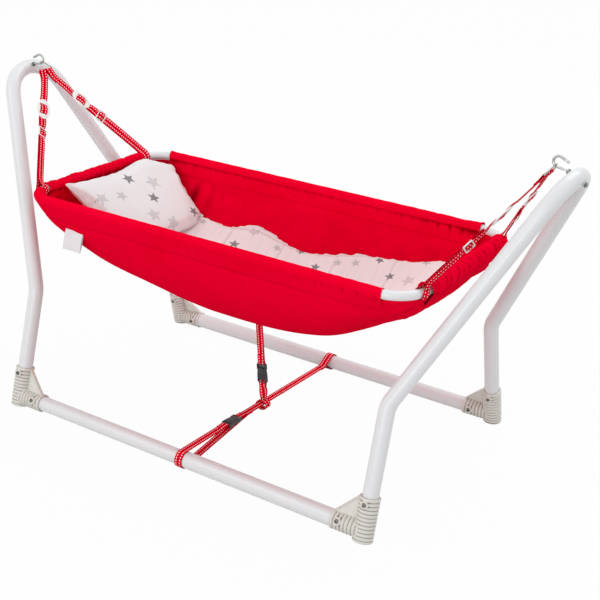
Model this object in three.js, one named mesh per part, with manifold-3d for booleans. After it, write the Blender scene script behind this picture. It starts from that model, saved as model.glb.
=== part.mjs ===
// Hanging baby cradle: a cloth hammock on a rim hoop, slung by webbing from two bent end frames.
// Millimetres, +Z up. X runs along the cradle, -Y is its front, and z = 0 is the floor.
import * as THREE from 'three';
import { mergeVertices } from 'three/addons/utils/BufferGeometryUtils.js';
import Module from 'manifold-3d';

const wasm = await Module();
wasm.setup();

// Clearances
const gap = 0.35;
const looseGap = 0.6;
const cutMargin = 6;

// Steel tubes of the stand: 35 mm legs and thin halves, 38 mm thick halves
const legR = 17.5;
const thickR = 19;
const tubeWall = 1.2;
const tubeSides = 16;
const boreSides = 10;

// Stand: the four corners mirror each other
const footX = 485;
const footY = 312;
const axisZ = 23;
const kinkX = 483;
const kinkY = 246;
const kinkZ = 282;
const legSplayShare = 0.516;
const legCloseShare = 0.397;
const kinkBendR = 70;
const apexBendR = 88;
const bendSteps = 4;
const apexSteps = 10;
const legSeat = 9;
const tubeEndX = 461;
const joinX = 12;
const joinLap = 70;

// Corner connectors
const socketR = 22;
const collarR = 22.5;
const collarLength = 7;
const socketMouthZ = 94;
const socketMouthX = 411;
const footR = 18;
const footRise = 5;
const gussetThick = 6;
const gussetTopZ = 92;
const gussetEndX = 420;
const bossR = 8;
const bossProud = 2.2;
const lyingScrewX = 431;
const frontScrewLean = THREE.MathUtils.degToRad(26);
const uprightScrewZ = 80;
const screwHeadR = 4.6;
const screwHeadThick = 2.6;
const screwCrownShare = 0.6;
const screwShankR = 1.9;
const screwShankLength = 4;
const crossArm = 5.6;
const crossWidth = 1.2;
const crossDepth = 1.2;

// Screw hook through the top of each end frame
const hookWireR = 2.75;
const hookHoleR = 3.2;
const hookTail = 27;
const hookBendAt = 24.5;
const hookCentreAlong = 46.5;
const hookCentreUp = 3.8;
const hookR = 11;
const hookTipAlong = 28;
const wireSides = 8;
const hookSteps = 14;
const nutAcross = 10;
const nutThick = 4.6;
const washerR = 7.5;
const washerThick = 1.4;
const threadGap = 0.25;

// Triangular wire ring on each hook
const ringWireR = 1.5;
const ringApexR = 5.4;
const ringBar = 56;
const ringHeight = 26;
const ringCornerR = 2.4;
const ringSides = 6;
const ringCornerSteps = 4;

// Rim hoop of the cradle
const rimR = 10;
const rimWall = 1.2;
const rimX = 510;
const rimY = 239;
const rimZ = 511;
const rimCornerR = 75;
const rimCornerSteps = 6;
const rimSides = 10;
const rimBoreSides = 8;
const sleeveSides = 9;
const rimSlit = 0.6;

// Cloth body: its depth along the middle, as shares of its half length and of its greatest depth
const clothThick = 3;
const clothDrop = 11;
const bodyDepth = 221;
const depthShares = [
  [-1, 0.23], [-0.92, 0.42], [-0.745, 0.69], [-0.49, 0.86], [0, 1],
  [0.49, 0.88], [0.745, 0.58], [0.92, 0.31], [1, 0.12],
];
const sectionPowerSide = 2.84;
const sectionPowerDepth = 1.61;
const bodyStations = 14;
const sectionSteps = 12;
const foldDeep = 3.2;
const foldFromShare = 0.55;
const sleeveR = 13.6;
const sleeveClearR = 16;

// Slings turn round the rim's corner bends near the short ends
const slingAngle = THREE.MathUtils.degToRad(17);
const slingCurveGap = 2.2;

// Lengths of bare rim on each side of a sling, along the rim's path
const slingBare = 14.5;
const frontRightBare = 82;
const rearRightBare = 92;
const rearLeftBare = 74;

// Webbing
const webWidth = 20;
const webThick = 1.5;
const slingTopLap = 34;
const slingTail = 44;
const slingLead = 14;
const slingBend = 30;
const barMerge = 22;
const rimMerge = 26;
const slingBow = 0.5;
const loopSteps = 6;

// Where a sling nears the rim: shares of its merging run, of the loop's radius there and of the tail's offset
const rimRunShares = [1.5, 1, 0.66, 0.33];
const rimRiseShares = [0, 0, 0.3, 0.8];
const tailEaseShare = 1.2;
const turnShares = [0.33, 0.66];

// Plates on the slings: an oval two-slot plate above, a small two-slot slider below
const plateThick = 2.4;
const plateCurveSteps = 6;
const ovalLength = 55;
const ovalWidth = 36;
const ovalBar = 8;
const ovalSlot = 10;
const sliderLength = 24;
const sliderWidth = 29;
const sliderBar = 5;
const sliderSlot = 7;
const slotMargin = 1.3;
const threadMargin = 0.9;
const threadLead = 3;
const ovalShares = { left: 0.33, right: 0.35 };
const sliderShares = { left: 0.53, right: 0.61 };
const shownFace = new THREE.Vector3(0.5, -0.8, 0.4);

// Mattress and pillow
const mattressThick = 22;
const mattressEdge = 7;
const mattressFromX = -440;
const mattressToX = 455;
const mattressHalf = 190;
const mattressWave = 13;
const mattressWaveX = 150;
const mattressTaperShare = 0.12;
const mattressStations = 16;
const mattressAcross = 12;
const pillowWidth = 340;
const pillowLength = 236;
const pillowThick = 46;
const pillowEdge = 5;
const pillowDrawShare = 0.06;
const pillowSteps = 14;
const pillowAcross = 10;
const pillowTop = new THREE.Vector3(-488, 40, 513);
const pillowFoot = new THREE.Vector3(-300, 40, 369);

// Label sewn to the front of the body near its left end
const labelWidth = 54;
const labelLength = 52;
const labelThick = 1.2;
const labelX = -372;
const labelY = -223.5;
const labelZ = 450;
const labelShear = 12;

// Tether under the body, with its buckle, and the cross strap between the floor tubes
const tetherTopX = -5;
const tetherFootX = 19;
const tetherBuckleZ = 136;
const tetherTwistZ = 77;
const tetherForkZ = 40;
const tetherLoopX = 15.2;
const tetherLoopZ = 11.5;
const tetherLoopSteps = 16;
const crossX = 17;
const crossZ = 33;
const crossRearZ = 24;
const crossMergeY = 272;
const crossBuckleRearY = -105;
const crossBuckleRise = 4;
const crossFold = 20;
const buckleWidth = 25.5;
const buckleThick = 9;
const buckleBody = 29;
const buckleBase = 20;
const buckleProng = 17;
const buckleProngWidth = 3.2;
const buckleWall = 1.6;
const buckleBarR = 1.6;
const buckleWindow = 11;
const buckleSlot = 9;
const eyeLap = 24;
const shortLapShare = 0.6;
const eyeMerge = 11;

const steel = { color: 0xf1f1ee, roughness: 0.35, metalness: 0.1 };
const plastic = { color: 0xdedcd2, roughness: 0.55, metalness: 0 };
const zinc = { color: 0xa9acab, roughness: 0.35, metalness: 0.9 };
const redCloth = { color: 0xd4001f, roughness: 0.9, metalness: 0 };
const printedCloth = { color: 0xe9e7e5, roughness: 0.9, metalness: 0 };
const redWeb = { color: 0xc8102a, roughness: 0.8, metalness: 0 };
const blackPlastic = { color: 0x1d1e20, roughness: 0.45, metalness: 0 };
const clearPlastic = { color: 0xeef0ef, roughness: 0.35, metalness: 0 };
const darkSteel = { color: 0x3d3a37, roughness: 0.45, metalness: 0.8 };
const labelCloth = { color: 0xf6f6f4, roughness: 0.85, metalness: 0 };

const cradle = new THREE.Group();

function vec(x, y, z) {
  return new THREE.Vector3(x, y, z);
}

function along(from, direction, distance) {
  return from.clone().addScaledVector(direction, distance);
}

function addPiece(name, geometry, finish) {
  geometry.computeVertexNormals();
  const piece = new THREE.Mesh(geometry, new THREE.MeshStandardMaterial(finish));
  piece.name = name;
  cradle.add(piece);
  return piece;
}

// Meshes to solids and back
function solidOf(geometry) {
  const bare = geometry.clone();
  bare.deleteAttribute('normal');
  bare.deleteAttribute('uv');
  const merged = mergeVertices(bare);
  const triVerts = new Uint32Array(merged.index.array);
  const vertProperties = new Float32Array(merged.attributes.position.array);
  return new wasm.Manifold(new wasm.Mesh({ numProp: 3, vertProperties, triVerts }));
}

function geometryOf(solid) {
  const mesh = solid.getMesh();
  const geometry = new THREE.BufferGeometry();
  geometry.setAttribute('position', new THREE.BufferAttribute(mesh.vertProperties, 3));
  geometry.setIndex(new THREE.BufferAttribute(mesh.triVerts, 1));
  return geometry;
}

// A closed skin over rings of points, its ends closed by fans; with loop it joins its start
function skin(rings, loop = false) {
  const count = rings[0].length;
  const points = rings.flat();
  const index = [];
  const spans = loop ? rings.length : rings.length - 1;
  for (let i = 0; i < spans; i += 1) {
    const a = i * count;
    const b = ((i + 1) % rings.length) * count;
    for (let k = 0; k < count; k += 1) {
      const m = (k + 1) % count;
      index.push(a + k, b + k, b + m, a + k, b + m, a + m);
    }
  }
  if (!loop) {
    [[0, 1], [rings.length - 1, -1]].forEach(([end, way]) => {
      const middle = rings[end].reduce((sum, p) => sum.add(p), vec(0, 0, 0)).divideScalar(count);
      points.push(middle);
      for (let k = 0; k < count; k += 1) {
        const here = end * count + k;
        const next = end * count + (k + 1) % count;
        index.push(points.length - 1, ...(way > 0 ? [here, next] : [next, here]));
      }
    });
  }
  let volume = 0;
  for (let i = 0; i < index.length; i += 3) {
    const normal = points[index[i + 1]].clone().cross(points[index[i + 2]]);
    volume += points[index[i]].dot(normal);
  }
  if (volume < 0) {
    index.reverse();
  }
  const geometry = new THREE.BufferGeometry();
  geometry.setAttribute('position', new THREE.Float32BufferAttribute(points.flatMap((p) => p.toArray()), 3));
  geometry.setIndex(index);
  return geometry;
}

// A curve that stops only at chosen stations, so that straight runs need no extra rings
class StationPath extends THREE.Curve {
  constructor(stations) {
    super();
    this.stations = stations;
  }

  stationAt(share) {
    return this.stations[Math.round(share * (this.stations.length - 1))];
  }

  getPointAt(share) {
    return this.stationAt(share).point.clone();
  }

  getTangentAt(share) {
    return this.stationAt(share).tangent.clone();
  }
}

function circle(radius, sides, turn = 0) {
  return Array.from({ length: sides }, (_, i) => {
    const angle = turn + 2 * Math.PI * i / sides;
    return new THREE.Vector2(radius * Math.cos(angle), radius * Math.sin(angle));
  });
}

// Radius of a many-sided hole that a round of the given radius just fits
function around(radius, sides) {
  return radius / Math.cos(Math.PI / sides);
}

function sweep(stations, outerR, outerSides, innerR = 0, innerSides = 0) {
  const shape = new THREE.Shape(circle(outerR, outerSides));
  if (innerR > 0) {
    shape.holes.push(new THREE.Path(circle(innerR, innerSides)));
  }
  const extrudePath = new StationPath(stations);
  const steps = stations.length - 1;
  return new THREE.ExtrudeGeometry(shape, { steps, extrudePath, bevelEnabled: false });
}

function rod(from, to, radius, sides) {
  const tangent = to.clone().sub(from).normalize();
  return sweep([{ point: from, tangent }, { point: to, tangent }], radius, sides);
}

// Stations along straight runs joined by round bends
function bentPath(corners, bends) {
  const stations = [];
  const ahead = (i) => corners[i + 1].clone().sub(corners[i]).normalize();
  stations.push({ point: corners[0].clone(), tangent: ahead(0) });
  for (let i = 1; i < corners.length - 1; i += 1) {
    const inward = ahead(i - 1);
    const outward = ahead(i);
    const turn = inward.angleTo(outward);
    const reach = bends[i - 1].radius * Math.tan(turn / 2);
    const start = along(corners[i], inward, -reach);
    const side = outward.clone().addScaledVector(inward, -inward.dot(outward)).normalize();
    const { radius, steps } = bends[i - 1];
    for (let k = 0; k <= steps; k += 1) {
      const angle = turn * k / steps;
      const ahead = along(start, inward, radius * Math.sin(angle));
      const point = along(ahead, side, radius * (1 - Math.cos(angle)));
      const tangent = inward.clone().multiplyScalar(Math.cos(angle)).addScaledVector(side, Math.sin(angle));
      stations.push({ point, tangent });
    }
  }
  const end = corners.length - 1;
  stations.push({ point: corners[end].clone(), tangent: ahead(end - 1) });
  return stations;
}

// Leg axis below the kink, and where the two upper legs of an end meet above it
const legSlant = vec(kinkX - footX, kinkY - footY, kinkZ - axisZ).normalize();
const peakZ = kinkZ + kinkY / legCloseShare;
const peakX = kinkX + legSplayShare * kinkY / legCloseShare;

function legPoint(z, sx, sy) {
  const t = (z - axisZ) / (kinkZ - axisZ);
  return vec(sx * (footX + (kinkX - footX) * t), sy * (footY + (kinkY - footY) * t), z);
}

// The plane of the two upper legs of an end: up along it, and inward across it
const planeUp = vec(legSplayShare, 0, 1).normalize();
const planeIn = vec(-planeUp.z, 0, planeUp.x);
const halfAngle = Math.atan2(legCloseShare, Math.hypot(legSplayShare, 1));
const crownDrop = apexBendR * (1 / Math.sin(halfAngle) - 1);
const crown = along(vec(peakX, 0, peakZ), planeUp, -crownDrop);

// Where a hook's point lies: along its shank from the tube's axis, and up across it
function hookPoint(alongShank, upAcross) {
  return along(along(crown, planeIn, alongShank), planeUp, upAcross);
}

function mirroredX(point, sx) {
  return vec(sx * point.x, point.y, point.z);
}

function hookHole(sx) {
  const from = mirroredX(hookPoint(-legR - cutMargin, 0), sx);
  const to = mirroredX(hookPoint(legR + cutMargin, 0), sx);
  return solidOf(rod(from, to, around(hookHoleR, wireSides), wireSides));
}

// The two screws of a corner go in from the front, one into each limb; the front lying ones lean up
function screwSpots(sx, sy) {
  const axis = legPoint(kinkZ, sx, sy).sub(legPoint(axisZ, sx, sy)).normalize();
  const front = vec(0, -1, 0);
  const lean = sy < 0 ? frontScrewLean : 0;
  const leaning = vec(0, -Math.cos(lean), Math.sin(lean));
  const square = front.clone().addScaledVector(axis, -front.dot(axis)).normalize();
  return [
    { name: 'lying', centre: vec(sx * lyingScrewX, sy * footY, axisZ), out: leaning },
    { name: 'upright', centre: legPoint(uprightScrewZ, sx, sy), out: square },
  ];
}

function screwHoles(sx, sy) {
  return screwSpots(sx, sy).map(({ centre, out }) => {
    const outer = along(centre, out, socketR + cutMargin);
    return solidOf(rod(centre, outer, around(screwShankR + gap, wireSides), wireSides));
  });
}

function makeEndFrame(name, sx) {
  const frontFoot = legPoint(legSeat, sx, -1);
  const rearFoot = legPoint(legSeat, sx, 1);
  const peak = vec(sx * peakX, 0, peakZ);
  const corners = [frontFoot, legPoint(kinkZ, sx, -1), peak, legPoint(kinkZ, sx, 1), rearFoot];
  const kink = { radius: kinkBendR, steps: bendSteps };
  const stations = bentPath(corners, [kink, { radius: apexBendR, steps: apexSteps }, kink]);
  const cutters = [hookHole(sx), screwHoles(sx, -1)[1], screwHoles(sx, 1)[1]];
  const tube = solidOf(sweep(stations, legR, tubeSides, legR - tubeWall, boreSides));
  addPiece(name, geometryOf(cutters.reduce((left, cutter) => left.subtract(cutter), tube)), steel);
}

// Floor tubes: each side has a thin half that slips into a thick half
function makeFloorTube(name, sy, thickSide) {
  const thinEnd = vec(-thickSide * tubeEndX, sy * footY, axisZ);
  const thinLap = vec(thickSide * joinLap, sy * footY, axisZ);
  const thickStart = vec(joinX, sy * footY, axisZ);
  const thickEnd = vec(thickSide * tubeEndX, sy * footY, axisZ);
  const tangent = vec(1, 0, 0);
  const path = (a, b) => [a, b].sort((p, q) => p.x - q.x).map((point) => ({ point, tangent }));
  const thin = sweep(path(thinEnd, thinLap), legR, tubeSides, legR - tubeWall, boreSides);
  const boreR = around(legR + gap, tubeSides);
  const thick = sweep(path(thickStart, thickEnd), thickR, tubeSides, boreR, tubeSides);
  const thinSolid = solidOf(thin).subtract(screwHoles(-thickSide, sy)[0]);
  const thickSolid = solidOf(thick).subtract(screwHoles(thickSide, sy)[0]);
  const [left, right] = thickSide > 0 ? [thinSolid, thickSolid] : [thickSolid, thinSolid];
  addPiece(`${name}_floor_tube_left`, geometryOf(left), steel);
  addPiece(`${name}_floor_tube_right`, geometryOf(right), steel);
}

// A round form over stations that each have their own radius
function roundForm(stations, sides) {
  return skin(stations.map(({ point, normal, radius }) => {
    const first = vec(1, 0, 0).addScaledVector(normal, -normal.x);
    if (first.length() < 0.5) {
      first.set(0, 0, 1);
    }
    first.normalize();
    const second = normal.clone().cross(first);
    return circle(radius, sides).map((c) => along(along(point, first, c.x), second, c.y));
  }));
}

// Corner connectors: an upright limb that ends in the foot, a lying limb and a gusset
function makeConnector(name, sx, sy) {
  const axis = legPoint(kinkZ, sx, sy).sub(legPoint(axisZ, sx, sy)).normalize();
  const level = vec(0, 0, 1);
  const upright = (z, radius, normal) => ({ point: legPoint(z, sx, sy), radius, normal });
  const lying = (x, radius) => ({ point: vec(sx * x, sy * footY, axisZ), radius, normal: vec(sx, 0, 0) });
  const collarZ = socketMouthZ - collarLength;
  const collarX = socketMouthX + collarLength;
  const parts = [
    roundForm([
      upright(0, footR, level),
      upright(footRise, socketR, level),
      upright(collarZ - gap, socketR, axis),
      upright(collarZ, collarR, axis),
      upright(socketMouthZ, collarR, axis),
    ], tubeSides),
    roundForm([
      lying(footX, socketR - gap),
      lying(collarX + gap, socketR),
      lying(collarX, collarR),
      lying(socketMouthX, collarR),
    ], tubeSides),
  ];
  const gussetFoot = vec(sx * gussetEndX, sy * footY, axisZ + socketR - gap);
  const gussetCorners = [legPoint(gussetTopZ, sx, sy), gussetFoot, legPoint(axisZ, sx, sy)];
  const gussetSide = (offset) => gussetCorners.map((p) => vec(p.x, p.y + offset, p.z));
  parts.push(skin([gussetSide(-gussetThick / 2), gussetSide(gussetThick / 2)]));
  screwSpots(sx, sy).forEach(({ centre, out }) => {
    parts.push(rod(centre, along(centre, out, socketR + bossProud), bossR, boreSides));
  });
  const body = parts.map(solidOf).reduce((sum, part) => sum.add(part));
  const legHole = around(legR + gap, tubeSides);
  const tubeR = sx * sy < 0 ? thickR : legR;
  const tubeHole = around(tubeR + gap, tubeSides);
  const mouth = along(legPoint(socketMouthZ, sx, sy), axis, cutMargin);
  const deepest = vec(sx * (tubeEndX + gap), sy * footY, axisZ);
  const opening = vec(sx * (socketMouthX - cutMargin), sy * footY, axisZ);
  const cutters = [
    solidOf(rod(along(legPoint(legSeat, sx, sy), axis, -gap), mouth, legHole, tubeSides)),
    solidOf(rod(deepest, opening, tubeHole, tubeSides)),
    ...screwHoles(sx, sy),
  ];
  addPiece(name, geometryOf(cutters.reduce((left, cutter) => left.subtract(cutter), body)), plastic);
}

// Cross-recessed screws of the connectors
function makeScrew(name, centre, out) {
  const profile = [
    [0, -screwShankLength],
    [screwShankR, -screwShankLength],
    [screwShankR, 0],
    [screwHeadR, 0],
    [screwHeadR, screwHeadThick / 2],
    [screwHeadR * screwCrownShare, screwHeadThick],
    [0, screwHeadThick],
  ];
  const lathe = new THREE.LatheGeometry(profile.map(([x, y]) => new THREE.Vector2(x, y)), boreSides);
  const armBox = () => new THREE.BoxGeometry(crossArm, 2 * crossDepth, crossWidth);
  const armA = solidOf(armBox().translate(0, screwHeadThick, 0));
  const armB = solidOf(armBox().rotateY(Math.PI / 2).translate(0, screwHeadThick, 0));
  const solid = solidOf(lathe).subtract(armA).subtract(armB);
  const piece = addPiece(name, geometryOf(solid), darkSteel);
  piece.position.copy(along(centre, out, socketR + bossProud + gap));
  piece.quaternion.setFromUnitVectors(vec(0, 1, 0), out);
}

// Hook, nuts and washer at the top of an end frame
function hookStations(sx) {
  const flat = (x, y) => new THREE.Vector2(x, y);
  const start = flat(hookBendAt, 0);
  const centre = flat(hookCentreAlong, hookCentreUp);
  const reach = centre.clone().sub(start);
  const heading = reach.angle() - Math.asin(hookR / reach.length());
  const points = [{ at: flat(-hookTail, 0), angle: 0 }, { at: start, angle: heading / 2 }];
  const firstTurn = heading - Math.PI / 2;
  for (let k = 0; k <= hookSteps; k += 1) {
    const turn = firstTurn + (Math.PI / 2 - firstTurn) * k / hookSteps;
    const at = flat(hookR * Math.cos(turn), hookR * Math.sin(turn)).add(centre);
    points.push({ at, angle: turn + Math.PI / 2 });
  }
  points.push({ at: flat(hookTipAlong, hookCentreUp + hookR), angle: Math.PI });
  return points.map(({ at, angle }) => {
    const tangent = planeIn.clone().multiplyScalar(Math.cos(angle)).addScaledVector(planeUp, Math.sin(angle));
    return { point: mirroredX(hookPoint(at.x, at.y), sx), tangent: mirroredX(tangent, sx) };
  });
}

function makeHook(side, sx) {
  addPiece(`${side}_hook_bolt`, sweep(hookStations(sx), hookWireR, wireSides), zinc);
  const boreR = around(hookWireR + threadGap, wireSides);
  const disc = (outline, thick) => {
    const shape = new THREE.Shape(outline);
    shape.holes.push(new THREE.Path(circle(boreR, wireSides)));
    return new THREE.ExtrudeGeometry(shape, { depth: thick, bevelEnabled: false });
  };
  const hexagon = circle(nutAcross / 2 / Math.cos(Math.PI / 6), 6);
  const shank = mirroredX(planeIn, sx);
  const place = (name, geometry, finish, distance) => {
    const piece = addPiece(name, geometry, finish);
    piece.position.copy(mirroredX(hookPoint(distance, 0), sx));
    piece.quaternion.setFromUnitVectors(vec(0, 0, 1), shank);
  };
  const seat = legR + gap;
  place(`${side}_inner_nut`, disc(hexagon, nutThick), zinc, seat);
  place(`${side}_washer`, disc(circle(washerR, tubeSides), washerThick), clearPlastic, -seat - washerThick);
  const nutAt = -seat - washerThick - gap - nutThick;
  place(`${side}_outer_nut`, disc(hexagon, nutThick), zinc, nutAt);
}

// Rim hoop: its butted ends meet behind, inside the rear sleeve
const corners = [[1, 1], [1, -1], [-1, -1], [-1, 1]].map(([sx, sy]) => vec(sx * rimX, sy * rimY, rimZ));
const rimBend = { radius: rimCornerR, steps: rimCornerSteps };
const rimEnds = [vec(rimSlit / 2, rimY, rimZ), vec(-rimSlit / 2, rimY, rimZ)];
const rimPath = bentPath([rimEnds[0], ...corners, rimEnds[1]], [rimBend, rimBend, rimBend, rimBend]);
const rimRuns = [0];
rimPath.slice(1).forEach(({ point }, i) => rimRuns.push(rimRuns[i] + point.distanceTo(rimPath[i].point)));

// How far along the rim's path a sling stands, counting corners from rear right to rear left
function slingRun(corner) {
  const first = 1 + corner * (rimCornerSteps + 1);
  const share = slingAngle / (Math.PI / 2);
  const from = rimRuns[first];
  const to = rimRuns[first + rimCornerSteps];
  return THREE.MathUtils.lerp(from, to, corner % 2 === 0 ? 1 - share : share);
}

function rimStretch(from, to) {
  const between = (at) => {
    const i = rimRuns.findIndex((run) => run >= at) - 1;
    const share = (at - rimRuns[i]) / (rimRuns[i + 1] - rimRuns[i]);
    return {
      point: rimPath[i].point.clone().lerp(rimPath[i + 1].point, share),
      tangent: rimPath[i].tangent.clone().lerp(rimPath[i + 1].tangent, share).normalize(),
    };
  };
  const inside = rimPath.filter((_, i) => rimRuns[i] > from + gap && rimRuns[i] < to - gap);
  return [between(from), ...inside, between(to)];
}

// A flat loop of wire or cloth round stations that lie in one plane
function hoop(stations, normal, radius, sides) {
  return skin(stations.map(({ point, tangent }) => {
    const across = tangent.clone().cross(normal);
    return circle(radius, sides).map((c) => along(along(point, normal, c.x), across, c.y));
  }), true);
}

function makeRim() {
  addPiece('rim_tube', sweep(rimPath, rimR, rimSides, rimR - rimWall, rimBoreSides), steel);
}

// Cloth body: a boat-shaped shell under the rim, with sleeves round the rim's runs
function planHalf(x, grow) {
  const past = Math.abs(x) - (rimX - rimCornerR);
  const bend = rimCornerR + grow;
  const straight = rimY - rimCornerR;
  return past <= 0 ? straight + bend : straight + Math.sqrt(Math.max(bend * bend - past * past, 0));
}

// A smooth curve through a table of shares, read at one place along it
function smoothAt(table, at) {
  const last = table.length - 2;
  const i = table.findLastIndex(([x], k) => k <= last && (x <= at || k === 0));
  const slope = (k) => {
    const before = table[Math.max(k - 1, 0)];
    const after = table[Math.min(k + 1, table.length - 1)];
    return (after[1] - before[1]) / (after[0] - before[0]);
  };
  const span = table[i + 1][0] - table[i][0];
  const t = Math.min(Math.max((at - table[i][0]) / span, 0), 1);
  const rise = t * t * (3 - 2 * t);
  const start = t * (1 - t) ** 2 * span * slope(i);
  const end = t * t * (t - 1) * span * slope(i + 1);
  return table[i][1] * (1 - rise) + table[i + 1][1] * rise + start + end;
}

function bowlDepth(x, grow) {
  return bodyDepth * smoothAt(depthShares, x / (rimX + grow));
}

const bowlTop = rimZ - clothDrop;

function bowlRing(x, grow, lift) {
  const half = planHalf(x, grow);
  const depth = bowlDepth(x, grow) + grow - clothThick / 2;
  const fold = foldDeep * THREE.MathUtils.smoothstep(Math.abs(x) / rimX, foldFromShare, 1);
  const ring = [];
  for (let k = 0; k <= sectionSteps; k += 1) {
    const angle = Math.PI * k / sectionSteps;
    const side = Math.sign(Math.cos(angle)) * Math.abs(Math.cos(angle)) ** (2 / sectionPowerSide);
    const down = Math.max(Math.sin(angle), 0) ** (2 / sectionPowerDepth);
    const dip = fold * Math.cos(Math.PI * k) * Math.sin(angle);
    ring.push(vec(x, half * side, bowlTop - depth * down - dip));
  }
  if (lift > 0) {
    ring.push(vec(x, -half, bowlTop + lift), vec(x, half, bowlTop + lift));
  }
  return ring;
}

function bowlForm(grow, lift) {
  const rings = [];
  for (let i = 0; i <= bodyStations; i += 1) {
    const x = (rimX + grow) * Math.sin(Math.PI / 2 * (2 * i / bodyStations - 1));
    rings.push(bowlRing(x, grow, lift));
  }
  return skin(rings);
}

function makeBody() {
  const up = vec(0, 0, 1);
  const shell = solidOf(bowlForm(clothThick / 2, 0)).subtract(solidOf(bowlForm(-clothThick / 2, cutMargin)));
  const sleeve = solidOf(hoop(rimPath, up, sleeveR, sleeveSides));
  const bareRuns = [
    [rearRightBare, slingBare],
    [slingBare, frontRightBare],
    [slingBare, slingBare],
    [slingBare, rearLeftBare],
  ];
  const cutters = bareRuns.map(([before, after], corner) => {
    const middle = slingRun(corner);
    return solidOf(sweep(rimStretch(middle - before, middle + after), sleeveClearR, sleeveSides));
  });
  cutters.push(solidOf(hoop(rimPath, up, around(rimR + gap, rimSides), rimSides)));
  const whole = shell.add(sleeve);
  const body = cutters.reduce((left, cutter) => left.subtract(cutter), whole);
  addPiece('fabric_body', geometryOf(body), redCloth);
}

// Triangular ring: in the plane of the cradle's width and the slings' pull
const hookCentre = hookPoint(hookCentreAlong, hookCentreUp);
const bendX = rimX - rimCornerR;
const bendY = rimY - rimCornerR;
const slingFoot = vec(
  bendX + rimCornerR * Math.cos(slingAngle),
  bendY + rimCornerR * Math.sin(slingAngle),
  rimZ,
);
const pull = vec(slingFoot.x - hookCentre.x, 0, slingFoot.z - hookCentre.z).normalize();
const ringApexAngle = Math.atan2(ringBar / 2, ringHeight);
const ringApexAt = hookR - hookWireR - gap - ringWireR - ringApexR * (1 / Math.sin(ringApexAngle) - 1);
const barCentre = along(hookCentre, pull, ringApexAt + ringHeight);

function makeRing(side, sx) {
  const apex = mirroredX(along(hookCentre, pull, ringApexAt), sx);
  const middle = mirroredX(barCentre, sx);
  const across = vec(0, ringBar / 2, 0);
  const points = [middle, middle.clone().add(across), apex, middle.clone().sub(across), middle];
  const bend = { radius: ringCornerR, steps: ringCornerSteps };
  const stations = bentPath(points, [bend, { radius: ringApexR, steps: ringCornerSteps }, bend]);
  stations.pop();
  const normal = mirroredX(pull, sx).cross(vec(0, 1, 0));
  addPiece(`${side}_triangle_ring`, hoop(stations, normal, ringWireR, ringSides), zinc);
}

// A flat band along points that each know the direction of their width
function band(points, width = webWidth, thick = webThick) {
  return skin(points.map(({ point, across }, i) => {
    const before = points[Math.max(i - 1, 0)].point;
    const after = points[Math.min(i + 1, points.length - 1)].point;
    const out = after.clone().sub(before).cross(across).normalize();
    const corner = (w, t) => along(along(point, across, w * width / 2), out, t * thick / 2);
    return [corner(-1, -1), corner(1, -1), corner(1, 1), corner(-1, 1)];
  }));
}

// The middle line of a sling from the ring's bar to the rim, with its width turning on the way
function slingLine(side, sx, sy) {
  const start = vec(sx * barCentre.x, sy * (webWidth + looseGap) / 2, barCentre.z);
  const end = vec(sx * slingFoot.x, sy * slingFoot.y, slingFoot.z);
  const ringPull = mirroredX(pull, sx);
  const rimRun = vec(sx * Math.sin(slingAngle), -sy * Math.cos(slingAngle), 0);
  const rise = start.clone().sub(end);
  rise.addScaledVector(rimRun, -rise.dot(rimRun)).normalize();
  const upper = along(start, ringPull, slingLead);
  const lower = along(end, rise, slingLead);
  const straight = lower.clone().sub(upper).normalize();
  const bendTop = along(upper, straight, slingBend);
  const bendFoot = along(lower, straight, -slingBend);
  const first = new THREE.CubicBezierCurve3(start, upper, along(bendTop, straight, -slingLead), bendTop);
  const last = new THREE.CubicBezierCurve3(bendFoot, along(bendFoot, straight, slingLead), lower, end);
  const lengths = [first.getLength(), bendFoot.distanceTo(bendTop), last.getLength()];
  const total = lengths[0] + lengths[1] + lengths[2];
  const squareTo = (v, tangent) => v.clone().addScaledVector(tangent, -v.dot(tangent)).normalize();
  const acrossTop = squareTo(vec(0, 1, 0), straight);
  const acrossFoot = squareTo(rimRun, straight);
  if (acrossFoot.dot(acrossTop) < 0) {
    rimRun.negate();
    acrossFoot.negate();
  }
  const turn = Math.atan2(acrossTop.clone().cross(acrossFoot).dot(straight), acrossTop.dot(acrossFoot));
  const oval = ovalShares[side] * total;
  const slider = sliderShares[side] * total;
  const turnFrom = oval + ovalLength / 2;
  const turnTo = slider - sliderLength / 2 - threadLead;
  const frameAt = (s) => {
    if (s < lengths[0]) {
      const share = s / lengths[0];
      const tangent = first.getTangentAt(share);
      return { point: first.getPointAt(share), tangent, across: squareTo(vec(0, 1, 0), tangent) };
    }
    if (s > lengths[0] + lengths[1]) {
      const share = Math.min((s - lengths[0] - lengths[1]) / lengths[2], 1);
      const tangent = last.getTangentAt(share);
      return { point: last.getPointAt(share), tangent, across: squareTo(rimRun, tangent) };
    }
    const share = THREE.MathUtils.clamp((s - turnFrom) / (turnTo - turnFrom), 0, 1);
    const across = acrossTop.clone().applyAxisAngle(straight, turn * share);
    return { point: along(bendTop, straight, s - lengths[0]), tangent: straight.clone(), across };
  };
  return { frameAt, total, oval, slider, turnFrom, turnTo, lengths };
}

// Offsets of webbing that passes behind a plate's ends and over its middle bar
const threadOffset = plateThick / 2 + gap + webThick / 2;

function threading(at, bar, slot, length) {
  const inner = bar / 2 + threadMargin;
  const outer = bar / 2 + slot - threadMargin;
  const end = length / 2;
  return [
    [at - end - threadLead - slot, 0], [at - end - threadMargin, -threadOffset],
    [at - outer, -threadOffset], [at - inner, threadOffset], [at + inner, threadOffset],
    [at + outer, -threadOffset], [at + end + threadMargin, -threadOffset], [at + end + threadLead + slot, 0],
  ];
}

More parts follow.
